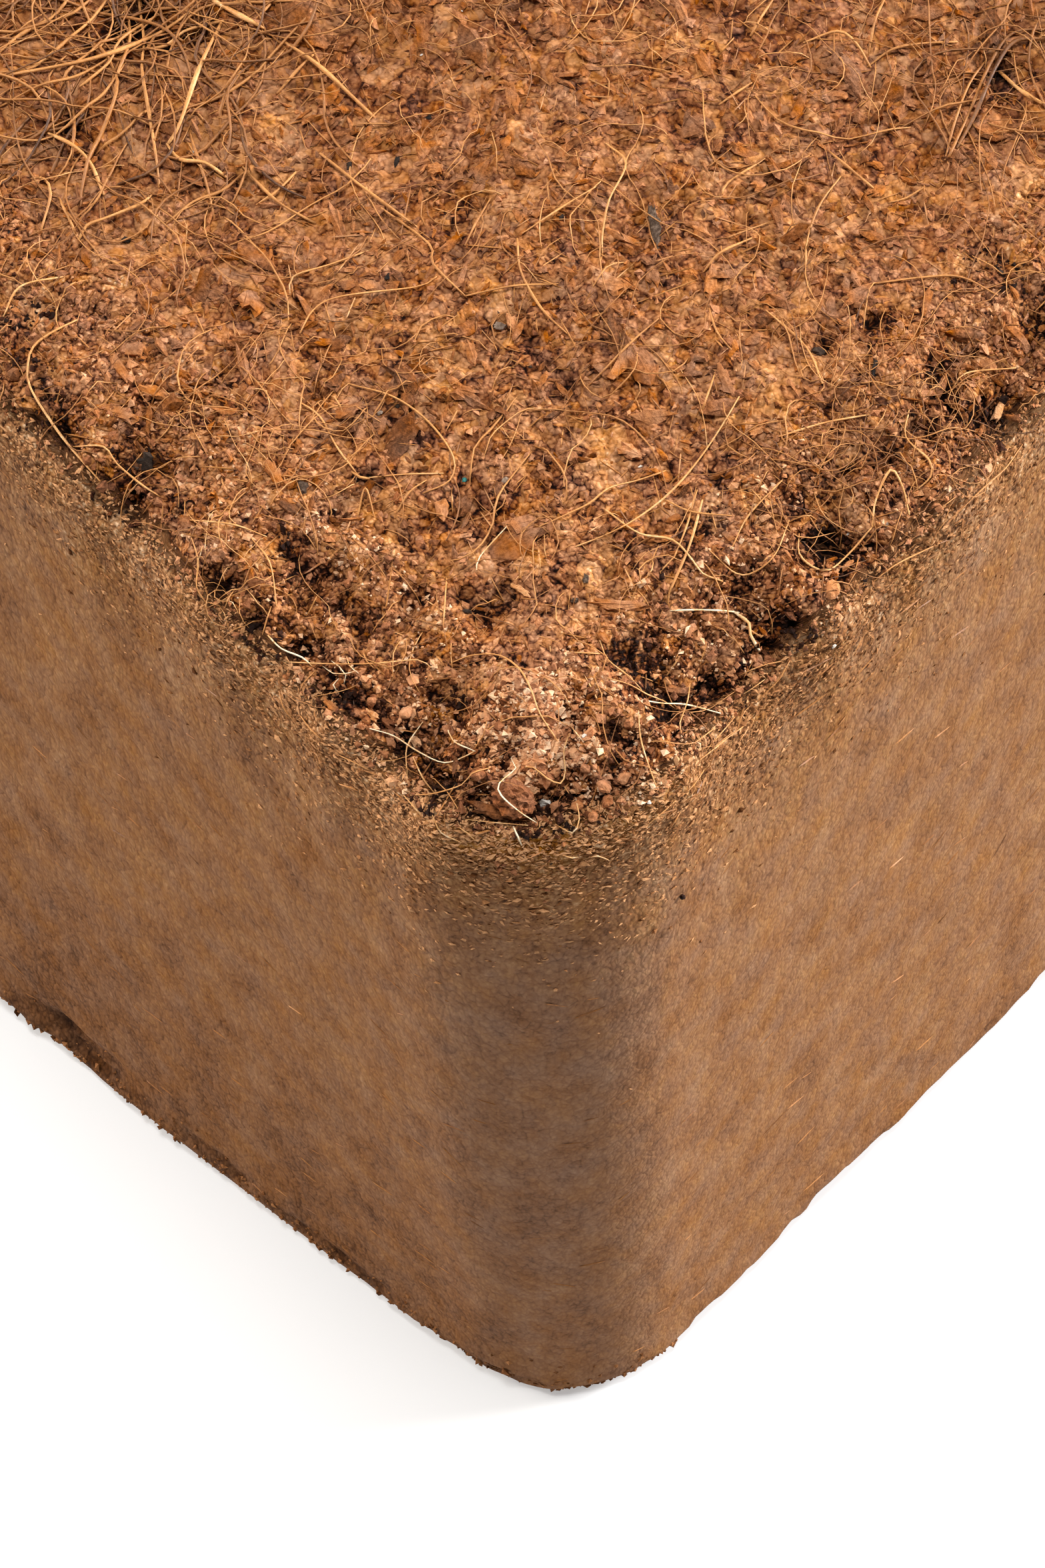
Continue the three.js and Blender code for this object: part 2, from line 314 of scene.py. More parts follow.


# %% [markdown]
# ## Gaps
# Between the crumbs of the broken rim the light gets lost. Crevices and hollows come from
# noise; the larger dark gaps are noted from the photo, each by its pixel, its reach and its
# depth in millimetres. The same numbers later paint shade on the skin and on the crumbs that
# lie in a gap.

# %% Gaps between crumbs
NOTED_GAPS = [
    ((520, 1034), 1.1, 1.3), ((563, 1053), 0.9, 1.0), ((600, 1098), 1.2, 1.4), ((650, 1112), 1.1, 1.2),
    ((700, 1122), 0.9, 1.0), ((664, 1156), 1.2, 1.6), ((706, 1190), 1.1, 1.4), ((640, 1190), 0.9, 1.0),
    ((930, 975), 1.2, 0.9), ((918, 1090), 1.0, 1.2), ((925, 1122), 0.8, 0.9), ((1075, 1004), 1.1, 0.9),
    ((1130, 1018), 1.1, 1.0), ((808, 1176), 0.8, 1.0), ((853, 1207), 0.8, 1.0), ((765, 1228), 0.8, 0.9),
    ((996, 1057), 0.9, 0.9), ((1090, 1066), 0.9, 1.0), ((1171, 924), 1.2, 1.0), ((1198, 944), 0.7, 0.4),
    ((1108, 867), 0.9, 1.0), ((1240, 803), 1.1, 1.5), ((1325, 676), 1.3, 1.0), ((1508, 615), 1.4, 1.5),
    ((1422, 576), 1.0, 1.2), ((1395, 640), 1.2, 1.2), ((24, 640), 1.3, 1.6), ((178, 752), 1.2, 1.4),
    ((246, 885), 0.9, 1.0), ((322, 872), 1.1, 1.3), ((485, 1022), 1.1, 1.3), ((375, 920), 0.9, 1.0),
    ((425, 958), 0.9, 1.0), ((205, 45), 2.2, 1.4), ((300, 60), 1.2, 1.0), ((110, 195), 1.0, 1.0),
    ((90, 650), 1.2, 1.2), ((222, 690), 1.3, 0.8), ((1310, 490), 1.0, 0.9), ((1236, 522), 0.9, 0.7),
    ((600, 640), 1.1, 0.6), ((556, 722), 1.2, 0.6), ((800, 525), 1.0, 0.5), ((1500, 100), 1.8, 1.2),
]
GAP_RANGE = 110.0
gap_spots = np.array([[*at_rim_height(pixel)[:2], reach, depth] for pixel, reach, depth in NOTED_GAPS])


def noted_gaps(points):
    depth = np.zeros(len(points))
    close = np.flatnonzero(from_near_corner(points[:, 0], points[:, 1]) < GAP_RANGE)
    ragged = 1 + 0.5 * soft_noise(points[close], 0.9, 19) + 0.4 * soft_noise(points[close], 0.4, 16)
    for x, y, reach, deep in gap_spots:
        apart = np.hypot(points[close, 0] - x, points[close, 1] - y) / reach
        depth[close] = np.maximum(depth[close], deep * np.exp(-(apart * ragged) ** 2))
    return depth


def crevices(points):
    wide = np.clip(1 - np.abs(soft_noise(points, 2.6, 17)) / 0.3, 0, 1)
    narrow = np.clip(1 - np.abs(soft_noise(points, 1.3, 10)) / 0.22, 0, 1)
    return 0.5 * wide + 0.35 * narrow + np.clip(soft_noise(points, 3.6, 18) + 0.1, 0, 1)


print("noted gaps:", len(NOTED_GAPS))

# %% [markdown]
# ## The skin's relief
# The top is loose: lumps, crumbs and pits. Where the rim has broken, crevices part the crumbs
# and the gaps go deep. The sides are the same stuff pressed flat, rough only just below the
# rim. The function also gives how much painted shade a point gets: pits, crevices and deep
# gaps are painted darker, because a deep gap looks nearly black.
# Each factor before a noise is its height in millimetres.

# %% Relief of the skin
CRUMB_SIZE = 1.05
FINE_CRUMB_SIZE = 0.65
GRAIN_SIZE = 0.45
GRAIN_REACH = 50.0
CALM_REACH = 75.0


def relief(points, pressed, worn, rough):
    lumps = 0.45 * soft_noise(points, 7.0, 11) + 0.3 * soft_noise(points, 2.6, 12)
    big, big_tone = crumb_field(points, CRUMB_SIZE, 20)
    small, small_tone = crumb_field(points, FINE_CRUMB_SIZE, 30)
    grain, grain_tone = crumb_field(points, GRAIN_SIZE, 40)
    away = from_near_corner(points[:, 0], points[:, 1])
    grain = grain * np.clip(1 - away / GRAIN_REACH, 0, 1)
    pits = np.clip(soft_noise(points, 2.2, 13) - 0.2, 0, 1) * np.clip(1.3 - away / CALM_REACH, 0.35, 1)
    gaps, noted = crevices(points), noted_gaps(points)
    loose = lumps + 0.4 * big + 0.25 * small + 0.25 * grain - 1.3 * pits
    broken = 0.8 * soft_noise(points, 4.6, 14) + 0.6 * big - 1.7 * gaps
    side = 0.14 * soft_noise(points, 5.0, 15) + 0.05 * big
    side = side + rough * (0.2 * big + 0.25 * small + 0.35 * grain)
    height = (loose + broken * worn - noted) * (1 - pressed) + side * pressed
    # Painted shade: pits, crevices and noted gaps are darkened in colour as well as in shape.
    hollow_and_shade = 0.8 * pits + (0.1 + 2.0 * np.clip(gaps - 0.3, 0, 1)) * worn + 0.8 * noted
    hollow_and_shade = np.clip(hollow_and_shade, 0, 1.25) * (1 - pressed)
    return height, 0.35 * big_tone + 0.35 * small_tone + 0.3 * grain_tone, hollow_and_shade


# %% [markdown]
# ## Making meshes fast
# `foreach_set` copies whole numpy arrays into Blender, which is far quicker than adding
# faces one by one. Each mesh also gets a `tone` number per vertex, read by its material.


# %% Mesh helpers
def make_mesh(name, points, faces, layers, flat=True):
    faces = np.asarray(faces, dtype=np.int32)
    corners = faces.shape[1]
    mesh = bpy.data.meshes.new(name)
    mesh.vertices.add(len(points))
    mesh.vertices.foreach_set("co", (np.asarray(points) * MM).astype(np.float32).ravel())
    mesh.loops.add(faces.size)
    mesh.loops.foreach_set("vertex_index", faces.ravel())
    mesh.polygons.add(len(faces))
    mesh.polygons.foreach_set("loop_start", np.arange(0, faces.size, corners, dtype=np.int32))
    mesh.polygons.foreach_set("use_smooth", np.full(len(faces), not flat))
    mesh.update(calc_edges=True)
    for layer, values in layers.items():
        attribute = mesh.attributes.new(layer, "FLOAT", "POINT")
        attribute.data.foreach_set("value", np.asarray(values, dtype=np.float32))
    mesh.validate()
    piece = bpy.data.objects.new(name, mesh)
    bpy.context.scene.collection.objects.link(piece)
    print(f"{name}: {len(faces) * (corners - 2)} triangles")
    return piece


def grid_faces(rows, columns):
    index = np.arange(rows * columns).reshape(rows, columns)
    quads = [index[:-1, :-1], index[:-1, 1:], index[1:, 1:], index[1:, :-1]]
    return np.stack(quads, axis=-1).reshape(-1, 4)


def joined(parts):
    points, faces, start = [], [], 0
    for part_points, part_faces, *_ in parts:
        points.append(part_points)
        faces.append(part_faces + start)
        start += len(part_points)
    return np.concatenate(points), np.concatenate(faces)


SKIN_LAYERS = ("tone", "pressed", "hollow_and_shade", "rough", "painted_corner_shading")


def join_patches(patches):
    looks = np.concatenate([np.stack(looks) for _, _, *looks in patches], axis=1)
    return *joined(patches), dict(zip(SKIN_LAYERS, looks))


# %% [markdown]
# ## Patches of skin
# The skin has two kinds of patch. The top is a plain grid. The rim, the sides and the base
# edge are a strip that runs round the outline. The points of a patch can crowd towards one
# end of it.


# %% Top patch
def spaced(low, high, step):
    return np.linspace(low, high, int(round(abs(high - low) / step)) + 1)


CROWDING = 0.45
TOP_ROUGH_REACH = 70.0


def crowded(low, high, step):
    share = spaced(0, 1, step / abs(high - low))
    return low + (high - low) * share * (1 - CROWDING + CROWDING * share)


def top_patch(xs, ys):
    x, y = [axis.ravel() for axis in np.meshgrid(xs, ys)]
    place = bowed(x, y, top_height(x, y))
    none = np.zeros(len(x))
    height, tone, hollow_and_shade = relief(place, none, none, none)
    place[:, 2] += height
    rough = np.clip(1.25 - from_near_corner(x, y) / TOP_ROUGH_REACH, 0, 1)
    return place, grid_faces(len(ys), len(xs)), tone, none, hollow_and_shade, rough, none


# %% [markdown]
# ## The strip's profile
# One way along the strip is arc length, the other, called down, goes from the top over the
# rounded rim and down the side, round the base edge and a little under the block. A chip in
# the rim also takes a little off the side below it, less and less over 27 mm.

# %% Profile of the strip
STRIP_INSET = CORNER_RADIUS
RIM_FLAT = STRIP_INSET - TOP_EDGE_RADIUS
RIM_ARC = TOP_EDGE_RADIUS * math.pi / 2
SIDE_HEIGHT = RIM_HEIGHT - TOP_EDGE_RADIUS - BASE_EDGE_RADIUS
BASE_ARC = BASE_EDGE_RADIUS * math.pi / 2
BASE_TUCK = 6.0
SIDE_FOOT = RIM_FLAT + RIM_ARC + SIDE_HEIGHT
PROFILE_LENGTH = SIDE_FOOT + BASE_ARC + BASE_TUCK
CHIP_FALL = (0.0, 7.0, 27.0)
CHIP_SHARES = (0.7, 0.35, 0.0)


def strip_point(arc, down):
    point, normal = outline_at(arc)
    on_rim = np.clip(down - RIM_FLAT, 0, RIM_ARC) / TOP_EDGE_RADIUS
    on_side = np.clip((down - RIM_FLAT - RIM_ARC) / SIDE_HEIGHT, 0, 1)
    on_base = np.clip(down - SIDE_FOOT, 0, BASE_ARC) / BASE_EDGE_RADIUS
    tucked = np.clip(down - SIDE_FOOT - BASE_ARC, 0, BASE_TUCK)
    inward, _ = chip_at(arc)
    fallen = RIM_FLAT + RIM_ARC + np.array(CHIP_FALL)
    chipped = np.interp(down, [RIM_FLAT, *fallen], [1, *CHIP_SHARES])
    chipped = np.where(down < RIM_FLAT, np.clip(down / RIM_FLAT, 0, 1) ** 2, chipped)
    inset = np.maximum(STRIP_INSET - down, TOP_EDGE_RADIUS) - TOP_EDGE_RADIUS * np.sin(on_rim)
    inset = inset + inward * chipped
    inset = inset + BASE_EDGE_RADIUS * (1 - np.cos(on_base)) + tucked
    spot = point - normal * inset[:, None]
    rim_z = top_height(spot[:, 0], spot[:, 1]) - TOP_EDGE_RADIUS * (1 - np.cos(on_rim))
    base_z = BASE_EDGE_RADIUS * (1 - np.sin(on_base))
    z = rim_z * (1 - on_side) + base_z * on_side
    place = bowed(spot[:, 0], spot[:, 1], z)
    out = np.concatenate([normal * np.sin(on_rim)[:, None], np.cos(on_rim)[:, None]], axis=1)
    under = np.concatenate([normal * np.cos(on_base)[:, None], -np.sin(on_base)[:, None]], axis=1)
    out = np.where((on_base > 0)[:, None], under, out)
    return place, out


# %% [markdown]
# ## The strip's relief
# The edge between the loose rim and the pressed side is wavy. Right below it the side is
# rough. The base edge has small bites, the largest of them noted from the photo by arc,
# width, height and depth; each bite is painted darker, as shade in a recess. The photo's
# left face, which is the front one, has a darker foot and a wider lip there. Down the corner
# between the two faces runs a painted shade, which turns into painted light just below the rim.

# %% Relief of the strip
RIM_END = RIM_FLAT + RIM_ARC + 3.0
SIDE_END = PROFILE_LENGTH - BASE_ARC - BASE_TUCK
PRESSED_FROM = RIM_FLAT + 2.7
PRESSED_TO = RIM_FLAT + 4.1
ROUGH_DEPTH = 10.0
CORNER_SHADING_WIDTH = 12.0
BASE_WEAR = 4.0
FOOT_HEIGHT = 60.0
FOOT_SHADES = (0.28, 0.05)
FOOT_LIPS = (0.75, 0.5)
LIP_HEIGHT = 4.0
BITE_SHADE = 0.36
BITE_DEPTH = 0.9
BASE_BITES = [
    (-60, 5.5, 6.5, 2.4), (-41, 5, 4, 1.2), (-31, 4, 3, 0.8), (-23, 4, 3, 1.3), (-6, 3, 2, 0.8),
    (33, 4, 2, 0.6), (57, 5, 2, 0.8),
]


def strip_relief(arc, down, place):
    edge_wave = 0.7 * soft_noise(place, 5.0, 50) + 0.5 * soft_noise(place, 1.4, 51)
    pressed = np.clip((down + edge_wave - PRESSED_FROM) / (PRESSED_TO - PRESSED_FROM), 0, 1)
    worn = np.clip(down / RIM_FLAT - 0.15, 0, 1) * (1 - pressed)
    worn = worn * np.clip(0.15 + 0.4 * chip_at(arc)[1], 0, 1)
    rough = np.exp(-np.maximum(down - PRESSED_TO, 0) / ROUGH_DEPTH)
    height, tone, hollow_and_shade = relief(place, pressed, worn, rough)
    above = SIDE_END + 1 - down
    bites = np.clip(0.7 * soft_noise(place, 9.0, 60) + 0.8 * soft_noise(place, 2.2, 61), 0, 1)
    bites = bites * np.clip(1 - np.abs(above) / BASE_WEAR, 0, 1)
    for at, width, reach, depth in BASE_BITES:
        apart = np.abs(np.mod(arc - at + PERIMETER / 2, PERIMETER) - PERIMETER / 2)
        bite = np.exp(-(apart / width) ** 2 - ((above - 0.6 * reach) / reach * 2) ** 2)
        bites = bites + depth * bite * (0.8 + 0.5 * soft_noise(place, 1.8, 62))
    on_front = np.mod(arc + PERIMETER / 2, PERIMETER) < PERIMETER / 2
    from_corner = np.minimum(np.mod(arc, PERIMETER), np.mod(-arc, PERIMETER))
    at_corner = np.exp(-(from_corner / CORNER_SHADING_WIDTH) ** 2)
    foot = np.clip(1 - above / FOOT_HEIGHT, 0, 1) * np.where(on_front, *FOOT_SHADES) * pressed
    # Painted shade in the bites; the front face is also made darker towards its foot, less so at the
    # corner.
    hollow_and_shade = np.clip(hollow_and_shade + foot * (1 - 0.8 * at_corner) + BITE_SHADE * bites, 0, 1.1)
    # Painted shading of the corner: darker lower down, lighter just below the rim.
    painted_corner_shading = at_corner * pressed * np.clip(0.45 + above / 90, 0.45, 1) * (1 - 2.6 * rough)
    lip = np.where(on_front, *FOOT_LIPS) * np.exp(-(np.maximum(above, 0) / LIP_HEIGHT) ** 2)
    return height + lip - BITE_DEPTH * bites, tone, pressed, hollow_and_shade, rough, painted_corner_shading


def strip_patch(arcs, downs):
    arc, down = [axis.ravel() for axis in np.meshgrid(arcs, downs)]
    place, out = strip_point(arc, down)
    height, *looks = strip_relief(arc, down, place)
    out = np.where(place[:, 2:] < BASE_EDGE_RADIUS, out * [1, 1, 0], out)
    height = np.where(down > PROFILE_LENGTH - BASE_TUCK, 0, height)
    place = place + out * height[:, None]
    return place, grid_faces(len(downs), len(arcs))[:, ::-1], *looks


# %% [markdown]
# ## The fine skin of the near corner
# Only about 80 mm of each face is close to the lens, so only that part is fine. The points
# crowd towards the corner: 0.2 mm apart there, half a millimetre at the patch's far end. The
# sides below the rough band have a shallow relief, for which 0.9 mm is enough.

# %% Near skin
NEAR_REACH = 72.0
NEAR_STEP = NEAR_REACH / 208
NEAR_ARC = ARC_LENGTH / 2 + NEAR_REACH
SIDE_STEP = 0.9
FINE_ARC = 46.0
FINE_END = RIM_END + 18.0
RIM_STEP, FINE_STEP = 0.25, 0.36
near_rim_rows = spaced(0, RIM_END, RIM_STEP)
fine_side_rows = spaced(RIM_END, FINE_END, FINE_STEP)
rest_side_rows = spaced(RIM_END, FINE_END, SIDE_STEP)
right_arcs = crowded(0, NEAR_ARC, NEAR_STEP)
near_arcs = np.concatenate([-right_arcs[:0:-1], right_arcs])
base_rows = np.concatenate([
    PROFILE_LENGTH - BASE_TUCK - BASE_ARC * np.array([0.66, 0.33, 0]),
    [PROFILE_LENGTH],
])
low_side_rows = np.concatenate([spaced(FINE_END, SIDE_END, SIDE_STEP), base_rows])
top_points, top_faces, top_layers = join_patches([
    top_patch(
        crowded(STRAIGHT, STRAIGHT - NEAR_REACH, NEAR_STEP)[::-1],
        crowded(-STRAIGHT, -STRAIGHT + NEAR_REACH, NEAR_STEP),
    ),
    strip_patch(near_arcs, near_rim_rows),
])
near_top = make_mesh("near_top", top_points, top_faces, top_layers)
side_points, side_faces, side_layers = join_patches([
    strip_patch(spaced(-FINE_ARC, FINE_ARC, NEAR_STEP), fine_side_rows),
    strip_patch(spaced(-NEAR_ARC, -FINE_ARC, SIDE_STEP), rest_side_rows),
    strip_patch(spaced(FINE_ARC, NEAR_ARC, SIDE_STEP), rest_side_rows),
    strip_patch(spaced(-NEAR_ARC, NEAR_ARC, SIDE_STEP), low_side_rows),
])
near_sides = make_mesh("near_sides", side_points, side_faces, side_layers, flat=False)

# %% [markdown]
# ## The coarse skin of the rest
# Behind and to the sides the same functions are asked for fewer points, three millimetres
# apart on the top and closer along the crumbling rim. The base is one flat grid. A coarse
# top has no fine gaps that hold a shadow, so a little painted shade is laid over all of it.

# %% Far skin
FAR_STEP, FAR_RIM_STEP = 3.0, 1.5
FAR_RIM_ROWS, FAR_SIDE_ROWS = 12, 40
BASE_ROWS, BASE_OVERLAP, BASE_LIFT = 40, 3.0, 0.15
BASE_LOOKS = (0.5, 1.0, 0.0, 0.0, 0.0)
FAR_SHADE = 0.3
far_rim_rows = np.linspace(0, RIM_END, FAR_RIM_ROWS)
far_side_rows = np.concatenate([np.linspace(RIM_END, SIDE_END, FAR_SIDE_ROWS), base_rows])
base_half = HALF - BASE_EDGE_RADIUS - BASE_TUCK + BASE_OVERLAP
base_line = np.linspace(-base_half, base_half, BASE_ROWS)
base_x, base_y = [axis.ravel() for axis in np.meshgrid(base_line, base_line)]
base_points = bowed(base_x, base_y, np.full(len(base_x), BASE_LIFT))
base_looks = [np.full(len(base_x), look) for look in BASE_LOOKS]
far_ends = (NEAR_ARC, PERIMETER - NEAR_ARC)


# Painted shade over the coarse top.
def shaded(patch):
    place, faces, tone, pressed, hollow_and_shade, *rest = patch
    return place, faces, tone, pressed, hollow_and_shade + FAR_SHADE * (1 - pressed), *rest


far_patches = [
    top_patch(spaced(-STRAIGHT, STRAIGHT - NEAR_REACH, FAR_STEP), spaced(-STRAIGHT, STRAIGHT, FAR_STEP)),
    top_patch(
        spaced(STRAIGHT - NEAR_REACH, STRAIGHT, FAR_STEP),
        spaced(-STRAIGHT + NEAR_REACH, STRAIGHT, FAR_STEP),
    ),
    strip_patch(spaced(*far_ends, FAR_RIM_STEP), far_rim_rows),
    strip_patch(spaced(*far_ends, FAR_STEP), far_side_rows),
    (base_points, grid_faces(BASE_ROWS, BASE_ROWS)[:, ::-1], *base_looks),
]
far_points, far_faces, far_layers = join_patches([shaded(patch) for patch in far_patches])
far_skin = make_mesh("far_skin", far_points, far_faces, far_layers, flat=False)

# %% [markdown]
# ## Feeling for the skin
# Whatever lies on the block has to touch it. A BVH tree answers "where does this ray hit
# the skin?" quickly, so grains and fibres are dropped onto the real relief, seen from any
# side, and don't float over it.

# %% Drop onto the skin
def make_tree(parts):
    points, faces, start = [], [], 0
    for part_points, part_faces in parts:
        points += part_points.tolist()
        faces += (part_faces + start).tolist()
        start += len(part_points)
    return BVHTree.FromPolygons(points, faces)


skin_parts = [(top_points, top_faces), (side_points, side_faces), (far_points, far_faces)]
skin_tree = make_tree(skin_parts)
CAST_START = 12.0
CORNER_PIXEL = (784, 1176)


def drop_on_skin(place, out):
    start = Vector(place) + Vector(out) * CAST_START
    hit, normal, _, _ = skin_tree.ray_cast(start, -Vector(out), 2 * CAST_START)
    if hit is None:
        return None, None
    if normal.dot(Vector(out)) < 0:
        normal = -normal
    return np.array(hit), np.array(normal)


def on_skin_at(pixel):
    hit, normal, _, _ = skin_tree.ray_cast(eye, photo_ray(pixel))
    return np.array(hit), np.array(normal)


print("skin at the near corner, mm:", on_skin_at(CORNER_PIXEL)[0].round(1))

# %% [markdown]
# ## Loose bits
# Torn pith leaves round crumbs, flat husk chips with ragged ends, and splinters of fibre.
# Each starts as a small template of a few triangles. Every copy gets its own size, turn and
# dented points, and the copies are joined in one mesh, so thousands cost one object.


# %% Templates of a crumb, a husk chip and a splinter
def ball_template(subdivisions):
    ball = bmesh.new()
    bmesh.ops.create_icosphere(ball, subdivisions=subdivisions, radius=0.5)
    points = np.array([vertex.co[:] for vertex in ball.verts])
    faces = np.array([[vertex.index for vertex in face.verts] for face in ball.faces])
    ball.free()
    return points, faces


def grain_template():
    points = 0.5 * np.concatenate([np.eye(3), -np.eye(3)])
    faces = [(x, y, z) for x in (0, 3) for y in (1, 4) for z in (2, 5)]
    faces = [face if sum(corner > 2 for corner in face) % 2 == 0 else face[::-1] for face in faces]
    return points, np.array(faces)


def plate_template(corners, ragged, rng):
    angles = 2 * math.pi * (np.arange(corners) + rng.uniform(-0.3, 0.3, corners)) / corners
    radius = 0.5 * rng.uniform(1 - ragged, 1, corners)
    ring = np.stack([np.cos(angles), np.sin(angles)], axis=1) * radius[:, None]
    bend = rng.uniform(0.5, 2.5) * ring[:, 0] ** 2
    top = np.column_stack([ring * 0.85, 0.5 + bend])
    bottom = np.column_stack([ring, bend - 0.5])
    faces = []
    for k in range(corners):
        after = (k + 1) % corners
        faces += [(corners + k, corners + after, after), (corners + k, after, k)]
    for k in range(1, corners - 1):
        faces += [(0, k, k + 1), (corners, corners + k + 1, corners + k)]
    return np.concatenate([top, bottom]), np.array(faces)


def splinter_template():
    rings = [(-0.28, 0.5), (0.28, 0.4)]
    points = [(-0.5, 0, 0)]
    for x, size in rings:
        points += [(x, size, -0.3 * size), (x, -size, -0.3 * size), (x, 0, size)]
    points += [(0.5, 0, 0)]
    faces = [(0, 2, 1), (0, 3, 2), (0, 1, 3), (7, 4, 5), (7, 5, 6), (7, 6, 4)]
    for a, b in ((1, 2), (2, 3), (3, 1)):
        faces += [(a, b, b + 3), (a, b + 3, a + 3)]
    return np.array(points), np.array(faces)


# %% [markdown]
# ## Strewing
# A strewn bit needs a place on the skin, the skin's direction there, a size and a tone. The
# places are drawn on the top or on the strip round it and dropped onto the skin along the
# local outward direction, so crumbs on the rim lean out with it. Bits in a gap or crevice
# are painted darker, as the shade that falls there, and away from the corner the tones draw
# together, as they do far from a lens.
# Sizes are drawn round a middle one and given proportions: length, width and thickness.


# %% Places, sizes and tones
def drop_all(places, outs):
    hits, normals = [], []
    for place, out in zip(places, outs):
        hit, normal = drop_on_skin(place, out)
        if hit is not None:
            hits.append(hit)
            normals.append(normal)
    return np.array(hits), np.array(normals)


def spots_on_top(count, x_range, y_range, rng):
    x = rng.uniform(*x_range, count)
    y = rng.uniform(*y_range, count)
    return drop_all(bowed(x, y, top_height(x, y)), np.tile([0.0, 0.0, 1.0], (count, 1)))


def spots_on_strip(arc, down):
    return drop_all(*strip_point(arc, down))


EVEN_REACH = 75.0
EVEN_TONE = 0.42
DARKEST = 0.02


def sizes_of(count, middle, spread, proportions, rng):
    size = middle * np.exp(rng.normal(0, spread, count))
    return size[:, None] * rng.uniform(*proportions, (count, 3))


def level_tones(count, low, high, rng):
    return low + (high - low) * rng.beta(2.5, 2.5, count)


def shaded_tones(places, low, high, rng, broken=0.0):
    evened = 1.35 - from_near_corner(places[:, 0], places[:, 1]) / EVEN_REACH
    evened = np.clip(evened, 0.4, 1.15)
    tones = EVEN_TONE + (level_tones(len(places), low, high, rng) - EVEN_TONE) * evened
    unbroken = np.column_stack([places[:, :2], top_height(places[:, 0], places[:, 1])])
    # Painted shade for bits in gaps and crevices.
    shade = 0.85 * noted_gaps(places) + broken * np.clip(crevices(unbroken) - 0.35, 0, 1)
    return tones * np.clip(1 - shade, DARKEST, 1)


# %% [markdown]
# ## Copies of a template
# Each copy lies flat on the skin, but for a random tilt, and points along a heading or any
# way. Each of its points is dented a little, and it stands out by a share of its thickness,
# the rise. All copies of a group are worked out at once, and groups become one mesh.


# %% Strewing and gathering
def strew(template, spots, sizes, tones, rng, tilt=0.3, dent=0.1, rise=0.2, heading=None):
    places, normals = spots
    shape, faces = template
    count = len(places)
    sizes, tones = sizes[:count], tones[:count]
    facing = normals + rng.normal(0, tilt, (count, 3))
    facing /= np.linalg.norm(facing, axis=1, keepdims=True)
    along = rng.normal(0, 1, (count, 3)) if heading is None else heading[:count]
    along = along - facing * np.sum(along * facing, axis=1, keepdims=True)
    along /= np.linalg.norm(along, axis=1, keepdims=True)
    axes = np.stack([along, np.cross(facing, along), facing], axis=1)
    shapes = (shape[None] + rng.uniform(-dent, dent, (count, *shape.shape))) * sizes[:, None, :]
    lifted = places + normals * sizes[:, 2:] * rise
    points = np.einsum("nvk,nkc->nvc", shapes, axes) + lifted[:, None, :]
    all_faces = faces[None] + (np.arange(count) * len(shape))[:, None, None]
    return points.reshape(-1, 3), all_faces.reshape(-1, 3), np.repeat(tones, len(shape))


def gather(name, groups, flat=True):
    points, faces = joined(groups)
    skin_parts.append((points, faces))
    return make_mesh(name, points, faces, {"tone": np.concatenate([tones for *_, tones in groups])}, flat)


# %% [markdown]
# ## Crumbs
# Crumbs of pith are 0.1 to 1.3 mm. They lie thickest where the rim has broken away, and there
# most of all round the corner, and thinner over the rest of the top.

# %% Crumbs on the near top
rng = np.random.default_rng(7)
near_x = (STRAIGHT - NEAR_REACH, HALF - 3)
near_y = (-HALF + 3, -STRAIGHT + NEAR_REACH)
RIM_CRUMBS, RIM_LUMPS, TOP_CRUMBS = 14300, 350, 5000
RIM_CROWDING = 1.9
CRUMB_SHAPE = ([0.8, 0.7, 0.6], [1.4, 1.1, 0.9])


def rim_spots(count):
    arcs = rng.uniform(-1, 1, count)
    arcs = np.sign(arcs) * np.abs(arcs) ** RIM_CROWDING * NEAR_ARC
    return spots_on_strip(arcs, rng.uniform(RIM_FLAT * 0.1, PRESSED_TO + 0.4, count))


grain_spots, lump_spots = rim_spots(RIM_CRUMBS), rim_spots(RIM_LUMPS)
rim_crumbs = strew(
    grain_template(), grain_spots,
    np.clip(sizes_of(RIM_CRUMBS, 0.28, 0.45, CRUMB_SHAPE, rng), 0.1, 0.9),
    shaded_tones(grain_spots[0], 0.12, 1.25, rng, broken=1.3), rng, dent=0.2, rise=0.25,
)
rim_lumps = strew(
    ball_template(1), lump_spots,
    np.clip(sizes_of(RIM_LUMPS, 0.6, 0.3, CRUMB_SHAPE, rng), 0.3, 1.3),
    shaded_tones(lump_spots[0], 0.3, 0.95, rng, broken=0.4), rng, dent=0.2, rise=0.1,
)
top_spots = spots_on_top(TOP_CRUMBS, near_x, near_y, rng)
top_crumbs = strew(
    grain_template(), top_spots,
    np.clip(sizes_of(TOP_CRUMBS, 0.38, 0.4, CRUMB_SHAPE, rng), 0.15, 1.0),
    shaded_tones(top_spots[0], 0.2, 0.85, rng), rng, dent=0.2, rise=0.1,
)

# %% [markdown]
# ## Clods
# A few larger clods are noted one by one from the photo, each by its pixel, its size in
# millimetres and its tone. The largest lies at the very corner. The camera's rays find the
# place on the skin for each of them.

# %% Clods, and the near crumbs as one mesh
NOTED_CLODS = [
    ((776, 1184), 2.9, 0.38, 4, 0.03), ((905, 1180), 1.1, 0.55), ((868, 1214), 0.9, 0.6),
    ((935, 1160), 1.0, 0.62), ((890, 1225), 0.8, 0.5), ((720, 1165), 1.0, 0.4),
    ((612, 1074), 1.0, 0.65), ((672, 1100), 0.9, 0.5), ((1240, 884), 1.4, 0.65),
    ((915, 1205), 0.9, 0.45), ((560, 1050), 0.8, 0.5), ((880, 1150), 0.8, 0.5),
    ((1022, 1343), 0.55, 0.05, 2),
]


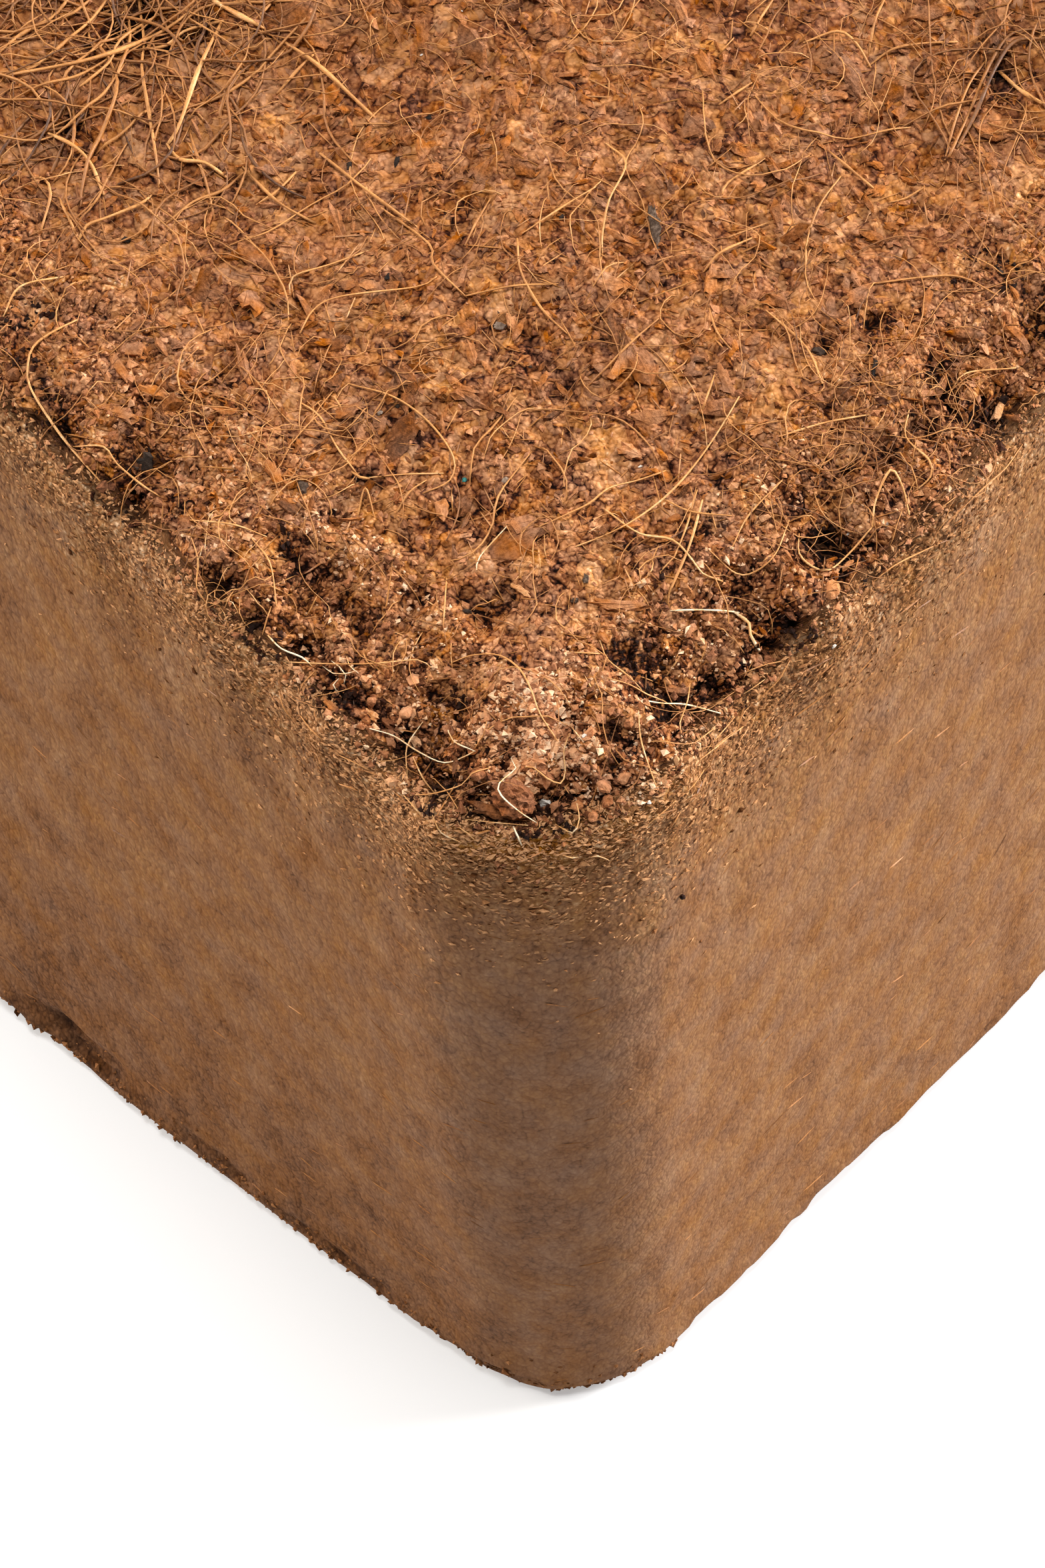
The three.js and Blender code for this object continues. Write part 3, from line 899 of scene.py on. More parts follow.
def noted_clod(pixel, size, tone, subdivisions=3, dent=0.02, flat=0.8):
    place, normal = on_skin_at(pixel)
    ball, faces = ball_template(subdivisions)
    rough_ball = ball * (1.15 + 0.55 * crumb_field(ball * size + 50, 0.45, 70)[0][:, None])
    return strew(
        (rough_ball, faces), (place[None], normal[None]), size * np.array([[1.0, 0.85, flat]]),
        np.array([tone]), rng, dent=dent, rise=0.45,
    )


near_crumbs = gather(
    "near_crumbs", [rim_crumbs, rim_lumps, top_crumbs] + [noted_clod(*spot) for spot in NOTED_CLODS],
)

# %% [markdown]
# ## Flecks on the sides
# Just below the rim the pressed skin still shows its grain: small flecks that the mould has
# laid level. They get rarer downwards. Their tones carry painted light: they are painted
# palest round the corner, where the lamps reach least, and darkest on the right face, which
# the right lamp lights most. What tells the faces apart is how far along one of them a fleck
# lies, counted as minus on the front and plus on the right. Crumbs also stick to the front
# face's foot and to the rims out of sight.

# %% Side flecks and far crumbs
SIDE_FLECKS, FOOT_CRUMBS, FAR_CRUMBS = 12000, 450, 1500
FLECK_ACROSS, FLECK_LIGHT_FACTORS = (-30.0, -4.0, 25.0), (1.6, 2.2, 1.1)
FLECK_SPREAD, FLECK_DEPTH = 0.42, 4.8
FOOT_REACH, FOOT_DEPTH = 12.0, 1.5
FLOOR_GAP = 0.05


def level_headings(normals, spread):
    return np.cross([0, 0, 1.0], normals) + rng.normal(0, spread, normals.shape)


fleck_downs = PRESSED_TO - 1.0 + rng.exponential(FLECK_DEPTH, SIDE_FLECKS)
fleck_spots = spots_on_strip(rng.normal(0, FLECK_SPREAD, SIDE_FLECKS) * NEAR_ARC, fleck_downs)
foot_arcs = rng.uniform(-NEAR_ARC, FOOT_REACH, FOOT_CRUMBS)
foot_downs = SIDE_END + BASE_ARC * 0.3 - rng.exponential(FOOT_DEPTH, FOOT_CRUMBS)
foot_spots = spots_on_strip(foot_arcs, foot_downs)
fleck_across = fleck_spots[0][:, 0] - HALF + fleck_spots[0][:, 1] + HALF
fleck_tones = level_tones(len(fleck_across), 0.05, 1.0, rng)
# Painted light: flecks are lightened most round the corner, where the lamps reach least.
fleck_tones *= np.interp(fleck_across, FLECK_ACROSS, FLECK_LIGHT_FACTORS)
foot_points, *foot_rest = strew(
    grain_template(), foot_spots, sizes_of(FOOT_CRUMBS, 0.45, 0.4, CRUMB_SHAPE, rng),
    level_tones(FOOT_CRUMBS, 0.2, 0.7, rng), rng, dent=0.15, rise=0.0,
)
foot_points[:, 2] = np.maximum(foot_points[:, 2], FLOOR_GAP)
side_flecks = gather("side_flecks", [strew(
    grain_template(), fleck_spots,
    np.clip(sizes_of(SIDE_FLECKS, 0.25, 0.35, ([1.0, 0.5, 0.4], [2.2, 0.9, 0.7]), rng), 0.08, 0.9),
    fleck_tones, rng, tilt=0.28, dent=0.16, rise=0.2,
    heading=level_headings(fleck_spots[1], 0.35),
), (foot_points, *foot_rest)])
far_arcs = rng.uniform(NEAR_ARC, PERIMETER - NEAR_ARC, FAR_CRUMBS)
far_crumbs = strew(
    grain_template(), spots_on_strip(far_arcs, rng.uniform(0, PRESSED_TO, FAR_CRUMBS)),
    sizes_of(FAR_CRUMBS, 1.0, 0.4, CRUMB_SHAPE, rng),
    level_tones(FAR_CRUMBS, 0.2, 0.8, rng), rng, dent=0.12,
)

# %% [markdown]
# ## Husk chips
# Chips are flakes of the husk, 0.5 to 3 mm long and about a third as thick as wide. They
# cover most of the top, but the part of it next to the near corner is finer grained. There
# are six shapes of them. A few hundred larger ones lie between them, thin and ragged.

# %% Husk chips
rng = np.random.default_rng(8)
CHIP_COUNT, LARGE_CHIPS = 7800, 330
CHIP_SHAPES = 6
FINE_REACH, LARGE_INSET = 42.0, 14.0
chip_places, chip_normals = spots_on_top(CHIP_COUNT, near_x, near_y, rng)
away = from_near_corner(chip_places[:, 0], chip_places[:, 1]) / FINE_REACH
away = np.clip(away - 0.1, 0.2, 1)
kept = rng.random(len(chip_places)) < away
chip_places, chip_normals, away = chip_places[kept], chip_normals[kept], away[kept]
chip_groups = []
for k in range(CHIP_SHAPES):
    own = slice(k, None, CHIP_SHAPES)
    count = len(chip_places[own])
    sizes = sizes_of(count, 0.8, 0.4, ([0.8, 0.25, 0.12], [2.0, 0.75, 0.24]), rng)
    chip_groups.append(strew(
        plate_template(6, 0.6, rng), (chip_places[own], chip_normals[own]),
        sizes * (0.5 + 0.5 * away[own, None]), shaded_tones(chip_places[own], 0.0, 0.8, rng), rng,
        tilt=0.3, dent=0.13, rise=0.3,
    ))

large_x, large_y = (near_x[0], near_x[1] - LARGE_INSET), (near_y[0] + LARGE_INSET, near_y[1])
large_spots = spots_on_top(LARGE_CHIPS, large_x, large_y, rng)
chip_groups.append(strew(
    plate_template(11, 0.7, rng), large_spots,
    sizes_of(LARGE_CHIPS, 1.7, 0.35, ([0.9, 0.4, 0.08], [1.9, 0.9, 0.13]), rng),
    shaded_tones(large_spots[0], 0.05, 0.8, rng), rng, tilt=0.26, dent=0.12, rise=1.0,
))

# %% [markdown]
# ## Chips and odd grains that catch the eye
# Some chips are noted in the photo one by one, by the pixels of the two ends, the width in
# millimetres and the tone. Odd grains are bits that are no coir: pale stones, dark and grey
# flakes, and a single teal grain. They are noted by pixel, size and tone, and some more are
# strewn in five tones.

# %% Noted chips and grains
NOTED_CHIPS = [
    ((1069, 392), (1062, 462), 1.1, 0.62), ((890, 408), (942, 446), 2.2, 0.66),
    ((762, 470), (776, 502), 1.1, 0.7), ((866, 903), (984, 916), 1.2, 0.62),
    ((690, 1207), (812, 1232), 1.3, 0.3), ((978, 1033), (1050, 1042), 0.9, 0.36),
    ((540, 1058), (572, 1088), 1.0, 0.85), ((1225, 870), (1262, 892), 1.4, 0.68),
    ((1486, 0), (1490, 84), 1.6, 0.22), ((255, 548), (290, 575), 0.9, 0.45),
    ((405, 945), (430, 975), 0.8, 0.8), ((1120, 660), (1150, 640), 0.9, 0.75),
    ((700, 505), (716, 560), 1.0, 0.6), ((355, 520), (375, 585), 1.3, 0.55),
    ((764, 876), (803, 899), 0.7, 0.95), ((480, 1050), (520, 1078), 0.8, 0.6),
    ((140, 600), (215, 640), 1.6, 0.6), ((205, 580), (260, 600), 1.3, 0.68),
    ((400, 690), (425, 735), 1.5, 0.55), ((925, 665), (965, 690), 1.4, 0.7),
    ((1075, 545), (1100, 600), 1.2, 0.5), ((1400, 610), (1420, 560), 0.8, 0.4),
    ((640, 250), (668, 262), 1.6, 0.6), ((1130, 850), (1165, 842), 0.8, 0.66),
    ((1488, 640), (1508, 590), 0.9, 0.95), ((868, 405), (930, 425), 1.5, 0.75),
]
ODD_GRAINS = [
    ((818, 1200), 1.0, 0.97), ((878, 1105), 0.55, 0.95), ((974, 1203), 0.35, 1.0),
    ((595, 610), 0.45, 0.2), ((862, 900), 0.6, 0.3), ((758, 722), 0.6, 0.5),
    ((570, 620), 0.45, 0.6), ((1250, 968), 0.5, 0.8),
]
ODD_FLAKES = [
    ((222, 692), 2.1, 0.12), ((205, 703), 1.0, 0.2), ((453, 731), 1.6, 0.3), ((581, 416), 0.9, 0.06),
    ((745, 488), 1.5, 0.48), ((1231, 530), 1.5, 0.22), ((190, 362), 0.9, 0.12), ((843, 327), 0.8, 0.12),
    ((524, 250), 0.8, 0.12), ((700, 920), 0.9, 0.15), ((880, 870), 1.1, 0.3),
]
ODD_CHIP = ((979, 300), (988, 378), 1.3, 0.33)
TEAL_PIXEL = (697, 720)
ODD_COUNT, ODD_SHADES = 60, (0.05, 0.2, 0.45, 0.75, 0.95)
CHIP_THICKNESS, CHIP_LIFT = 0.3, 0.15
rng = np.random.default_rng(9)


def noted_chip(start, end, width, tone):
    (first, normal), (last, _) = on_skin_at(start), on_skin_at(end)
    size = np.array([[np.linalg.norm(last - first), width, CHIP_THICKNESS]])
    middle = (first + last) / 2 + np.array([0, 0, CHIP_LIFT])
    spot = (middle[None], (normal + [0, 0, 2.0])[None] / 3)
    return strew(
        plate_template(18, 0.5, rng), spot, size, np.array([tone]), rng,
        tilt=0.05, dent=0.06, heading=(last - first)[None],
    )


def noted_flake(pixel, size, tone):
    place, normal = on_skin_at(pixel)
    return strew(
        plate_template(11, 0.6, rng), (place[None], normal[None]), size * np.array([[1.0, 0.75, 0.15]]),
        np.array([tone]), rng, tilt=0.15, dent=0.08, rise=1.5,
    )


near_chips = gather("near_chips", chip_groups + [noted_chip(*spot) for spot in NOTED_CHIPS])
odd_tones = rng.choice(ODD_SHADES, ODD_COUNT)
noted_odd = [noted_clod(*spot, subdivisions=2, dent=0.1, flat=0.5) for spot in ODD_GRAINS]
noted_odd += [noted_flake(*spot) for spot in ODD_FLAKES]
noted_odd += [noted_chip(*ODD_CHIP)]
odd_grains = gather("odd_grains", noted_odd + [strew(
    ball_template(1), spots_on_top(ODD_COUNT, near_x, near_y, rng),
    sizes_of(ODD_COUNT, 0.3, 0.35, ([0.9, 0.5, 0.25], [1.6, 0.9, 0.5]), rng), odd_tones, rng,
    dent=0.2, rise=0.1,
)])
teal_grain = gather("teal_grain", [
    noted_clod(TEAL_PIXEL, 0.45, 0.5, subdivisions=1, dent=0.15, flat=0.5),
])

# %% [markdown]
# ## The far part of the top
# The rest of the top gets fewer and larger chips, all of one shape. Now that every bit lies
# in its place, a second tree is made of the skin and the bits, for the fibres to lie on.

# %% Far chips
FAR_CHIPS = 2200
FAR_MARGIN = 8
far_range = (-STRAIGHT - FAR_MARGIN, STRAIGHT + FAR_MARGIN)
far_places, far_normals = spots_on_top(FAR_CHIPS, far_range, far_range, rng)
outside = (far_places[:, 0] < near_x[0]) | (far_places[:, 1] > near_y[1])
far_places, far_normals = far_places[outside], far_normals[outside]
far_bits = gather("far_bits", [far_crumbs, strew(
    plate_template(6, 0.4, rng), (far_places, far_normals),
    sizes_of(len(far_places), 2.4, 0.35, ([0.9, 0.35, 0.12], [1.6, 0.7, 0.2]), rng),
    level_tones(len(far_places), 0.08, 0.75, rng), rng, dent=0.08, rise=0.5,
)])
full_tree = make_tree(skin_parts)

# %% [markdown]
# ## Fibres
# A coir fibre is a stiff, springy hair, 0.06 to 0.45 mm thick, that tapers to both ends. Here
# it is a thin tube round a path: a ring of points at each step, set square to the path. Its
# thickness wavers a little along it, and its tone too, as a painted reflection along the hair.


# %% Tubes along paths
SLANT = np.array([0.21, 0.13, 0.97])
TINY = 1e-9


def tube(path, radii, sides):
    path = np.asarray(path, dtype=float)
    along = np.gradient(path, axis=0)
    along /= np.linalg.norm(along, axis=1, keepdims=True) + TINY
    across = np.cross(along, SLANT)
    across /= np.linalg.norm(across, axis=1, keepdims=True) + TINY
    over = np.cross(across, along)
    angles = 2 * math.pi * np.arange(sides) / sides
    ring = np.cos(angles)[None, :, None] * across[:, None] + np.sin(angles)[None, :, None] * over[:, None]
    points = (path[:, None] + ring * np.asarray(radii)[:, None, None]).reshape(-1, 3)
    tips = np.stack([path[0] - along[0] * radii[0], path[-1] + along[-1] * radii[-1]])
    index = np.arange(len(path) * sides).reshape(len(path), sides)
    turned = np.roll(index, -1, axis=1)
    a, b, c, d = index[:-1], turned[:-1], turned[1:], index[1:]
    faces = [np.stack([a, c, b], -1).reshape(-1, 3), np.stack([a, d, c], -1).reshape(-1, 3)]
    first = np.full(sides, len(points))
    faces.append(np.stack([first, index[0], turned[0]], axis=-1))
    faces.append(np.stack([first + 1, turned[-1], index[-1]], axis=-1))
    return np.concatenate([points, tips]), np.concatenate(faces)


def fibre(path, radius, tone, sides, rng):
    share = np.linspace(0, 1, len(path))
    thick = radius * (0.5 + 0.5 * np.sin(math.pi * np.clip(share * 0.92 + 0.04, 0, 1)) ** 0.4)
    thick = thick * (1 + 0.15 * np.sin(share * 11 + rng.random() * 6))
    points, faces = tube(path, thick, sides)
    # Painted reflection: the tone rises and falls along the hair.
    tones = tone + 0.09 * np.sin(share * rng.uniform(5, 16) + rng.random() * 6)
    tones = np.concatenate([np.repeat(tones, sides), tones[:1], tones[-1:]])
    return points, faces, tones


# %% [markdown]
# ## Paths that wander
# A fibre curls a little all along its length. Its path wanders over the skin: the heading
# turns by a curl that itself drifts, and the path rises between the places that hold it. Its
# ends dip into the skin. A path that leaves the top is dropped, and the next one is tried.
# Most fibres come out short and thin.

# %% Wandering fibres
SKY = 200.0
DROP_LIMIT = 9.0
SETTLE_ROUNDS = 4
REST_GAP, END_DIP = 0.05, 0.25
SHORTER, THINNER = 1.7, 2


def skin_height(x, y):
    hit, _, _, _ = full_tree.ray_cast(Vector((x, y, SKY)), Vector((0, 0, -1)))
    return hit.z if hit is not None else 0.0


def wandering_path(start, heading, length, steps, curl, rng):
    step = length / steps
    turn = rng.normal(0, curl)
    x, y = [start[0]], [start[1]]
    for _ in range(steps):
        turn = 0.8 * turn + rng.normal(0, curl * 0.6)
        heading += turn * step
        x.append(x[-1] + step * math.cos(heading))
        y.append(y[-1] + step * math.sin(heading))
    return np.array(x), np.array(y)


def lay_on_skin(x, y, lift, rng):
    z = np.array([skin_height(*spot) for spot in zip(x, y)])
    if z.min() < RIM_HEIGHT - DROP_LIMIT:
        return None
    for _ in range(SETTLE_ROUNDS):
        z[1:-1] = np.maximum(z[1:-1], (z[:-2] + z[2:]) / 2)
    share = np.linspace(0, 1, len(x))
    hop = np.abs(np.sin(math.pi * share * rng.uniform(1, 3) + rng.uniform(0, 1.5)))
    hop = hop * lift * np.sin(math.pi * share) ** 0.6
    dip = END_DIP * (1 - np.sin(math.pi * share)) ** 3
    return np.stack([x, y, z + hop + REST_GAP - dip], axis=1)


def fibres_over(count, x_range, y_range, lengths, radii, tones, curls, step, sides, rng, clear):
    tubes = []
    while len(tubes) < count:
        start = (rng.uniform(*x_range), rng.uniform(*y_range))
        if from_near_corner(*start) < clear:
            continue
        length = rng.uniform(0, 1) ** SHORTER * (lengths[1] - lengths[0]) + lengths[0]
        steps = max(int(length / step), 4)
        x, y = wandering_path(start, rng.uniform(0, 2 * math.pi), length, steps, rng.uniform(*curls), rng)
        path = lay_on_skin(x, y, rng.uniform(0.05, 0.9), rng)
        if path is not None:
            radius = radii[0] + (radii[1] - radii[0]) * rng.random() ** THINNER
            tubes.append(fibre(path, radius, rng.uniform(*tones), sides, rng))
    return tubes


# %% [markdown]
# ## Fibres that the photo shows one by one
# The fibres that catch the eye were traced: each is its width in photo pixels, its
# tone, and a few pixels along it.

# %% Traced fibres
TRACED_FIBRES = [
    (5, 0.7, [(678, 994), (708, 983), (749, 983), (780, 1004), (797, 1035), (810, 1070), (836, 1111)]),
    (5, 0.8, [(854, 1101), (846, 1127), (848, 1157), (841, 1175), (820, 1167), (800, 1151), (780, 1152)]),
    (4, 1.0, [(767, 1137), (774, 1152), (749, 1175), (752, 1193), (780, 1218), (805, 1234)]),
    (5, 0.95, [(402, 953), (422, 973), (453, 986), (468, 999)]),
    (4, 0.75, [(428, 993), (504, 996), (565, 995), (627, 990), (647, 1002)]),
    (4, 0.95, [(555, 1093), (591, 1104), (627, 1127), (667, 1144), (703, 1132), (711, 1127)]),
    (4, 0.7, [(616, 1193), (652, 1190), (693, 1177), (708, 1160), (734, 1152)]),
    (4, 0.95, [(670, 1086), (680, 1111), (713, 1127)]),
    (4, 0.75, [(854, 978), (907, 981)]),
    (4, 0.75, [(900, 961), (912, 989), (943, 1014), (963, 1035)]),
    (5, 0.97, [(963, 1050), (994, 1055), (1030, 1057), (1081, 1070)]),
    (4, 0.8, [(958, 1065), (961, 1106), (973, 1147), (984, 1178)]),
    (4, 0.85, [(864, 1198), (869, 1229), (859, 1249), (833, 1236)]),
    (6, 1.0, [(770, 1240), (783, 1268)]),
    (4, 0.85, [(649, 1223), (662, 1249), (693, 1264)]),
    (3, 0.8, [(698, 1229), (744, 1234), (792, 1238)]),
    (4, 0.8, [(606, 1193), (632, 1223)]),
    (4, 0.85, [(634, 1083), (611, 1119), (610, 1152)]),
    (4, 0.8, [(620, 1136), (634, 1166), (652, 1190)]),
    (6, 0.75, [(864, 820), (914, 800), (959, 775), (1004, 740), (1044, 695), (1079, 645), (1109, 595)]),
    (7, 0.8, [(909, 765), (959, 800), (1009, 810), (1039, 840), (1054, 860), (1084, 872)]),
    (6, 0.7, [(809, 790), (849, 772), (884, 755), (914, 732), (959, 720), (999, 706)]),
    (6, 0.75, [(1199, 800), (1199, 830), (1219, 850), (1244, 855), (1274, 830), (1309, 790)]),
    (8, 0.75, [(1309, 790), (1314, 750), (1336, 705), (1354, 730), (1364, 772)]),
    (6, 1.0, [(1006, 916), (1044, 915), (1084, 916), (1109, 919)]),
    (11, 0.9, [(1100, 917), (1124, 935), (1126, 952), (1139, 975)]),
    (6, 0.75, [(1120, 940), (1142, 955), (1155, 945)]),
    (5, 0.7, [(1099, 820), (1124, 772), (1174, 720)]),
    (5, 0.7, [(1064, 825), (1104, 860), (1134, 857), (1164, 830), (1184, 780)]),
    (7, 0.75, [(1169, 655), (1234, 635), (1304, 622)]),
    (6, 0.75, [(1429, 585), (1449, 560), (1524, 552)]),
    (6, 0.7, [(1364, 615), (1359, 655), (1394, 690), (1396, 715), (1369, 740)]),
    (9, 0.7, [(1054, 750), (1034, 820), (1004, 890), (1002, 906)]),
    (6, 0.65, [(1046, 735), (1030, 790), (1010, 840)]),
    (8, 0.75, [(115, 480), (75, 500), (50, 520), (42, 545), (45, 580), (75, 630), (105, 670), (150, 722)]),
    (6, 0.7, [(110, 670), (155, 670), (175, 695), (210, 725), (240, 745)]),
    (6, 0.7, [(445, 600), (480, 625), (505, 670), (535, 710)]),
    (10, 0.65, [(528, 708), (540, 716), (554, 718)]),
    (5, 0.75, [(550, 717), (600, 712), (665, 710)]),
    (6, 0.65, [(520, 575), (590, 595), (645, 635), (680, 685), (675, 720), (635, 740)]),
    (5, 0.75, [(285, 780), (350, 787), (400, 805)]),
    (5, 0.7, [(377, 807), (405, 845), (415, 910)]),
    (5, 0.65, [(285, 800), (297, 840), (295, 880), (310, 905)]),
    (4, 0.9, [(760, 790), (720, 835), (715, 855)]),
    (5, 0.7, [(670, 867), (665, 940)]),
    (20, 0.75, [(305, -8), (345, 15), (395, 42)]),
    (16, 0.6, [(425, 62), (480, 100), (560, 175)]),
    (17, 0.72, [(332, 35), (300, 100), (270, 185), (253, 215)]),
    (10, 0.55, [(480, 230), (550, 285), (625, 340)]),
    (15, 0.6, [(-5, 115), (78, 101), (156, 83), (234, 52), (285, 18)]),
    (14, 0.66, [(68, 198), (109, 218), (135, 244), (156, 292)]),
    (14, 0.7, [(250, 216), (270, 239), (307, 244), (340, 266)]),
    (14, 0.55, [(-5, 82), (31, 52), (78, 26), (101, 0)]),
    (12, 0.6, [(0, 109), (52, 99), (104, 57), (135, 31), (160, 0)]),
    (12, 0.55, [(208, 0), (216, 62), (213, 104), (224, 172), (234, 234), (239, 281)]),
    (12, 0.5, [(187, 0), (195, 57), (177, 109), (172, 137)]),
    (12, 0.7, [(210, 75), (250, 68), (276, 47), (335, 31)]),
    (10, 0.55, [(109, 198), (130, 161), (156, 140), (192, 88)]),
    (10, 0.55, [(47, 268), (66, 268), (76, 291), (62, 345)]),
    (10, 0.55, [(88, 296), (114, 350)]),
    (11, 0.66, [(118, 360), (130, 338), (156, 328), (208, 307), (231, 290)]),
    (10, 0.5, [(250, 335), (291, 302), (333, 286), (366, 258)]),
    (10, 0.5, [(364, 250), (416, 302), (473, 335)]),
    (9, 0.62, [(385, 307), (416, 286), (444, 258)]),
    (10, 0.55, [(416, 140), (447, 104), (470, 82)]),
    (10, 0.5, [(385, 28), (411, 0)]),
    (9, 0.5, [(0, 160), (60, 128), (120, 112), (190, 70)]),
    (10, 0.6, [(120, 130), (165, 92), (180, 60), (240, 20)]),
    (7, 0.75, [(5, 475), (30, 430), (95, 415)]),
    (6, 0.7, [(450, 500), (470, 465), (510, 445), (625, 430), (655, 415)]),
    (6, 0.75, [(435, 440), (440, 415), (500, 395), (555, 375)]),
    (7, 0.7, [(909, 215), (939, 245), (914, 300), (904, 350), (904, 380)]),
    (6, 0.7, [(784, 350), (844, 310), (894, 280)]),
    (10, 0.6, [(1206, 64), (1256, 47), (1284, 64), (1306, 101)]),
    (9, 0.5, [(1302, 100), (1339, 74), (1386, 65), (1436, 63)]),
    (16, 0.7, [(1500, 108), (1532, 136), (1572, 160)]),
    (16, 0.14, [(1575, 58), (1523, 62), (1492, 105), (1464, 170), (1436, 222)]),
    (12, 0.3, [(1575, 43), (1519, 50), (1486, 95), (1456, 165), (1424, 235)]),
    (9, 0.45, [(1480, 90), (1455, 125), (1433, 182), (1418, 240)]),
    (9, 0.5, [(1303, 82), (1313, 31), (1329, -5)]),
    (9, 0.55, [(1126, 54), (1142, 26), (1162, -4)]),
    (8, 0.6, [(1079, 157), (1100, 142), (1128, 124)]),
    (8, 0.62, [(1084, 291), (1092, 274), (1148, 238)]),
    (8, 0.55, [(1262, 264), (1230, 307), (1211, 360), (1209, 400)]),
    (10, 0.5, [(1244, 227), (1310, 282)]),
    (7, 0.55, [(1334, 304), (1360, 297), (1387, 280)]),
    (9, 0.62, [(1056, 408), (1079, 380), (1128, 357)]),
    (8, 0.5, [(1308, 426), (1386, 416), (1443, 416), (1497, 443)]),
    (7, 0.6, [(1149, 465), (1209, 520), (1234, 575)]),
    (8, 0.5, [(698, 368), (714, 334), (736, 298)]),
    (8, 0.5, [(572, 312), (644, 366), (650, 396), (700, 446)]),
    (7, 0.55, [(698, 444), (770, 429), (838, 426)]),
    (8, 0.55, [(776, 358), (782, 408), (812, 462), (850, 500)]),
    (6, 0.5, [(1064, 462), (1076, 498), (1102, 530)]),
    (7, 0.5, [(884, 578), (944, 516), (988, 478)]),
    (7, 0.6, [(1052, 620), (1072, 562)]),
    (6, 0.6, [(998, 750), (1040, 768), (1102, 774)]),
    (6, 0.6, [(536, 776), (548, 732), (562, 776)]),
    (5, 0.6, [(594, 770), (614, 738), (640, 720)]),
    (3, 0.95, [(484, 999), (500, 1010), (516, 1011), (535, 1006)]),
    (3, 1.0, [(497, 991), (509, 1000), (519, 1013), (516, 1026)]),
    (3, 0.9, [(508, 1018), (500, 1027), (507, 1040)]),
    (3, 0.9, [(520, 985), (524, 998), (538, 1010)]),
    (4, 0.9, [(855, 1087), (865, 1100), (876, 1113)]),
    (4, 0.75, [(912, 1017), (945, 1027), (972, 1042), (997, 1052), (1015, 1065)]),
    (4, 0.75, [(1035, 1025), (1032, 1050), (1020, 1085), (1022, 1100)]),
    (4, 0.85, [(880, 1287), (897, 1284), (915, 1291)]),
    (4, 0.85, [(845, 1283), (858, 1287), (872, 1285)]),
    (4, 0.75, [(690, 1242), (702, 1250), (713, 1261)]),
    (4, 0.65, [(1050, 1140), (1085, 1112), (1115, 1090)]),
    (4, 0.6, [(407, 910), (400, 930), (394, 952)]),
    (3, 0.8, [(1149, 1018), (1134, 1029), (1116, 1041)]),
    (3, 0.65, [(1173, 992), (1152, 996), (1129, 1004), (1108, 1014)]),
    (3, 0.7, [(1103, 1075), (1088, 1093), (1072, 1111), (1060, 1126)]),
    (4, 0.75, [(1089, 1111), (1072, 1123), (1053, 1138)]),
    (3, 0.7, [(1057, 1154), (1044, 1174), (1027, 1192)]),
    (4, 0.6, [(1021, 1218), (1009, 1238), (993, 1256)]),
    (3, 0.7, [(1014, 1201), (1001, 1213), (983, 1228), (965, 1243)]),
    (4, 0.55, [(1185, 991), (1169, 1019), (1149, 1039), (1134, 1055)]),
    (5, 0.55, [(1534, 667), (1510, 701), (1489, 720), (1465, 742), (1439, 768)]),
    (5, 0.65, [(1410, 815), (1380, 829), (1355, 841), (1335, 853), (1311, 872)]),
    (4, 0.6, [(1433, 746), (1412, 762)]),
    (4, 0.6, [(419, 1036), (425, 1061), (443, 1084)]),
    (4, 0.65, [(451, 1074), (466, 1094), (484, 1110)]),
    (3, 0.7, [(509, 1133), (530, 1143), (555, 1156)]),
    (6, 0.6, [(509, 1176), (524, 1181), (537, 1186)]),
]
print("traced fibres:", len(TRACED_FIBRES))

# %% [markdown]
# ## From a traced line to a fibre
# Each traced line is turned into a smooth curve, cast through the camera onto the skin, and
# then lifted towards the lens where it would cut through a lump. So it lies where the photo
# shows it, yet rests on the relief, or arches over it by up to half a millimetre. A fibre
# looks wider in the photo than it is, because its edges are soft, so its radius is less than
# half of the traced width.

# %% Casting the traced fibres
PIXELS_PER_MM = 20.8
TRACE_STEP = 9
LIFT_ROUNDS = 10
RADIUS_SHARE, WIDTH_POWER = 0.34, 0.85
ARCH = 0.5


def smooth_line(corners, spacing):
    corners = np.asarray(corners, dtype=float)
    before, beyond = 2 * corners[0] - corners[1], 2 * corners[-1] - corners[-2]
    padded = np.concatenate([[before], corners, [beyond]])
    line = []
    for a, b, c, d in zip(padded, padded[1:], padded[2:], padded[3:]):
        count = max(int(np.linalg.norm(c - b) / spacing), 1)
        for t in np.arange(count) / count:
            bend = (2 * a - 5 * b + 4 * c - d) * t**2 + (3 * b - a - 3 * c + d) * t**3
            line.append(0.5 * (2 * b + (c - a) * t + bend))
    line.append(corners[-1])
    return np.array(line)


def trace_fibre(width, tone, route, rng):
    rays = [photo_ray(pixel) for pixel in smooth_line(route, TRACE_STEP)]
    depths = np.array([full_tree.ray_cast(eye, ray)[3] for ray in rays])
    for _ in range(LIFT_ROUNDS):
        depths[1:-1] = np.minimum(depths[1:-1], (depths[:-2] + depths[2:]) / 2)
    share = np.linspace(0, 1, len(rays))
    radius = RADIUS_SHARE * width**WIDTH_POWER / PIXELS_PER_MM
    depths = depths - radius - ARCH * np.sin(math.pi * share) * rng.uniform(0.2, 1)
    path = np.array([eye + ray * depth for ray, depth in zip(rays, depths)])
    return fibre(path, radius, tone, 5, rng)


rng = np.random.default_rng(20)
traced = [trace_fibre(width, tone, route, rng) for width, tone, route in TRACED_FIBRES]
print("points along the first traced fibre:", len(smooth_line(TRACED_FIBRES[0][2], TRACE_STEP)))

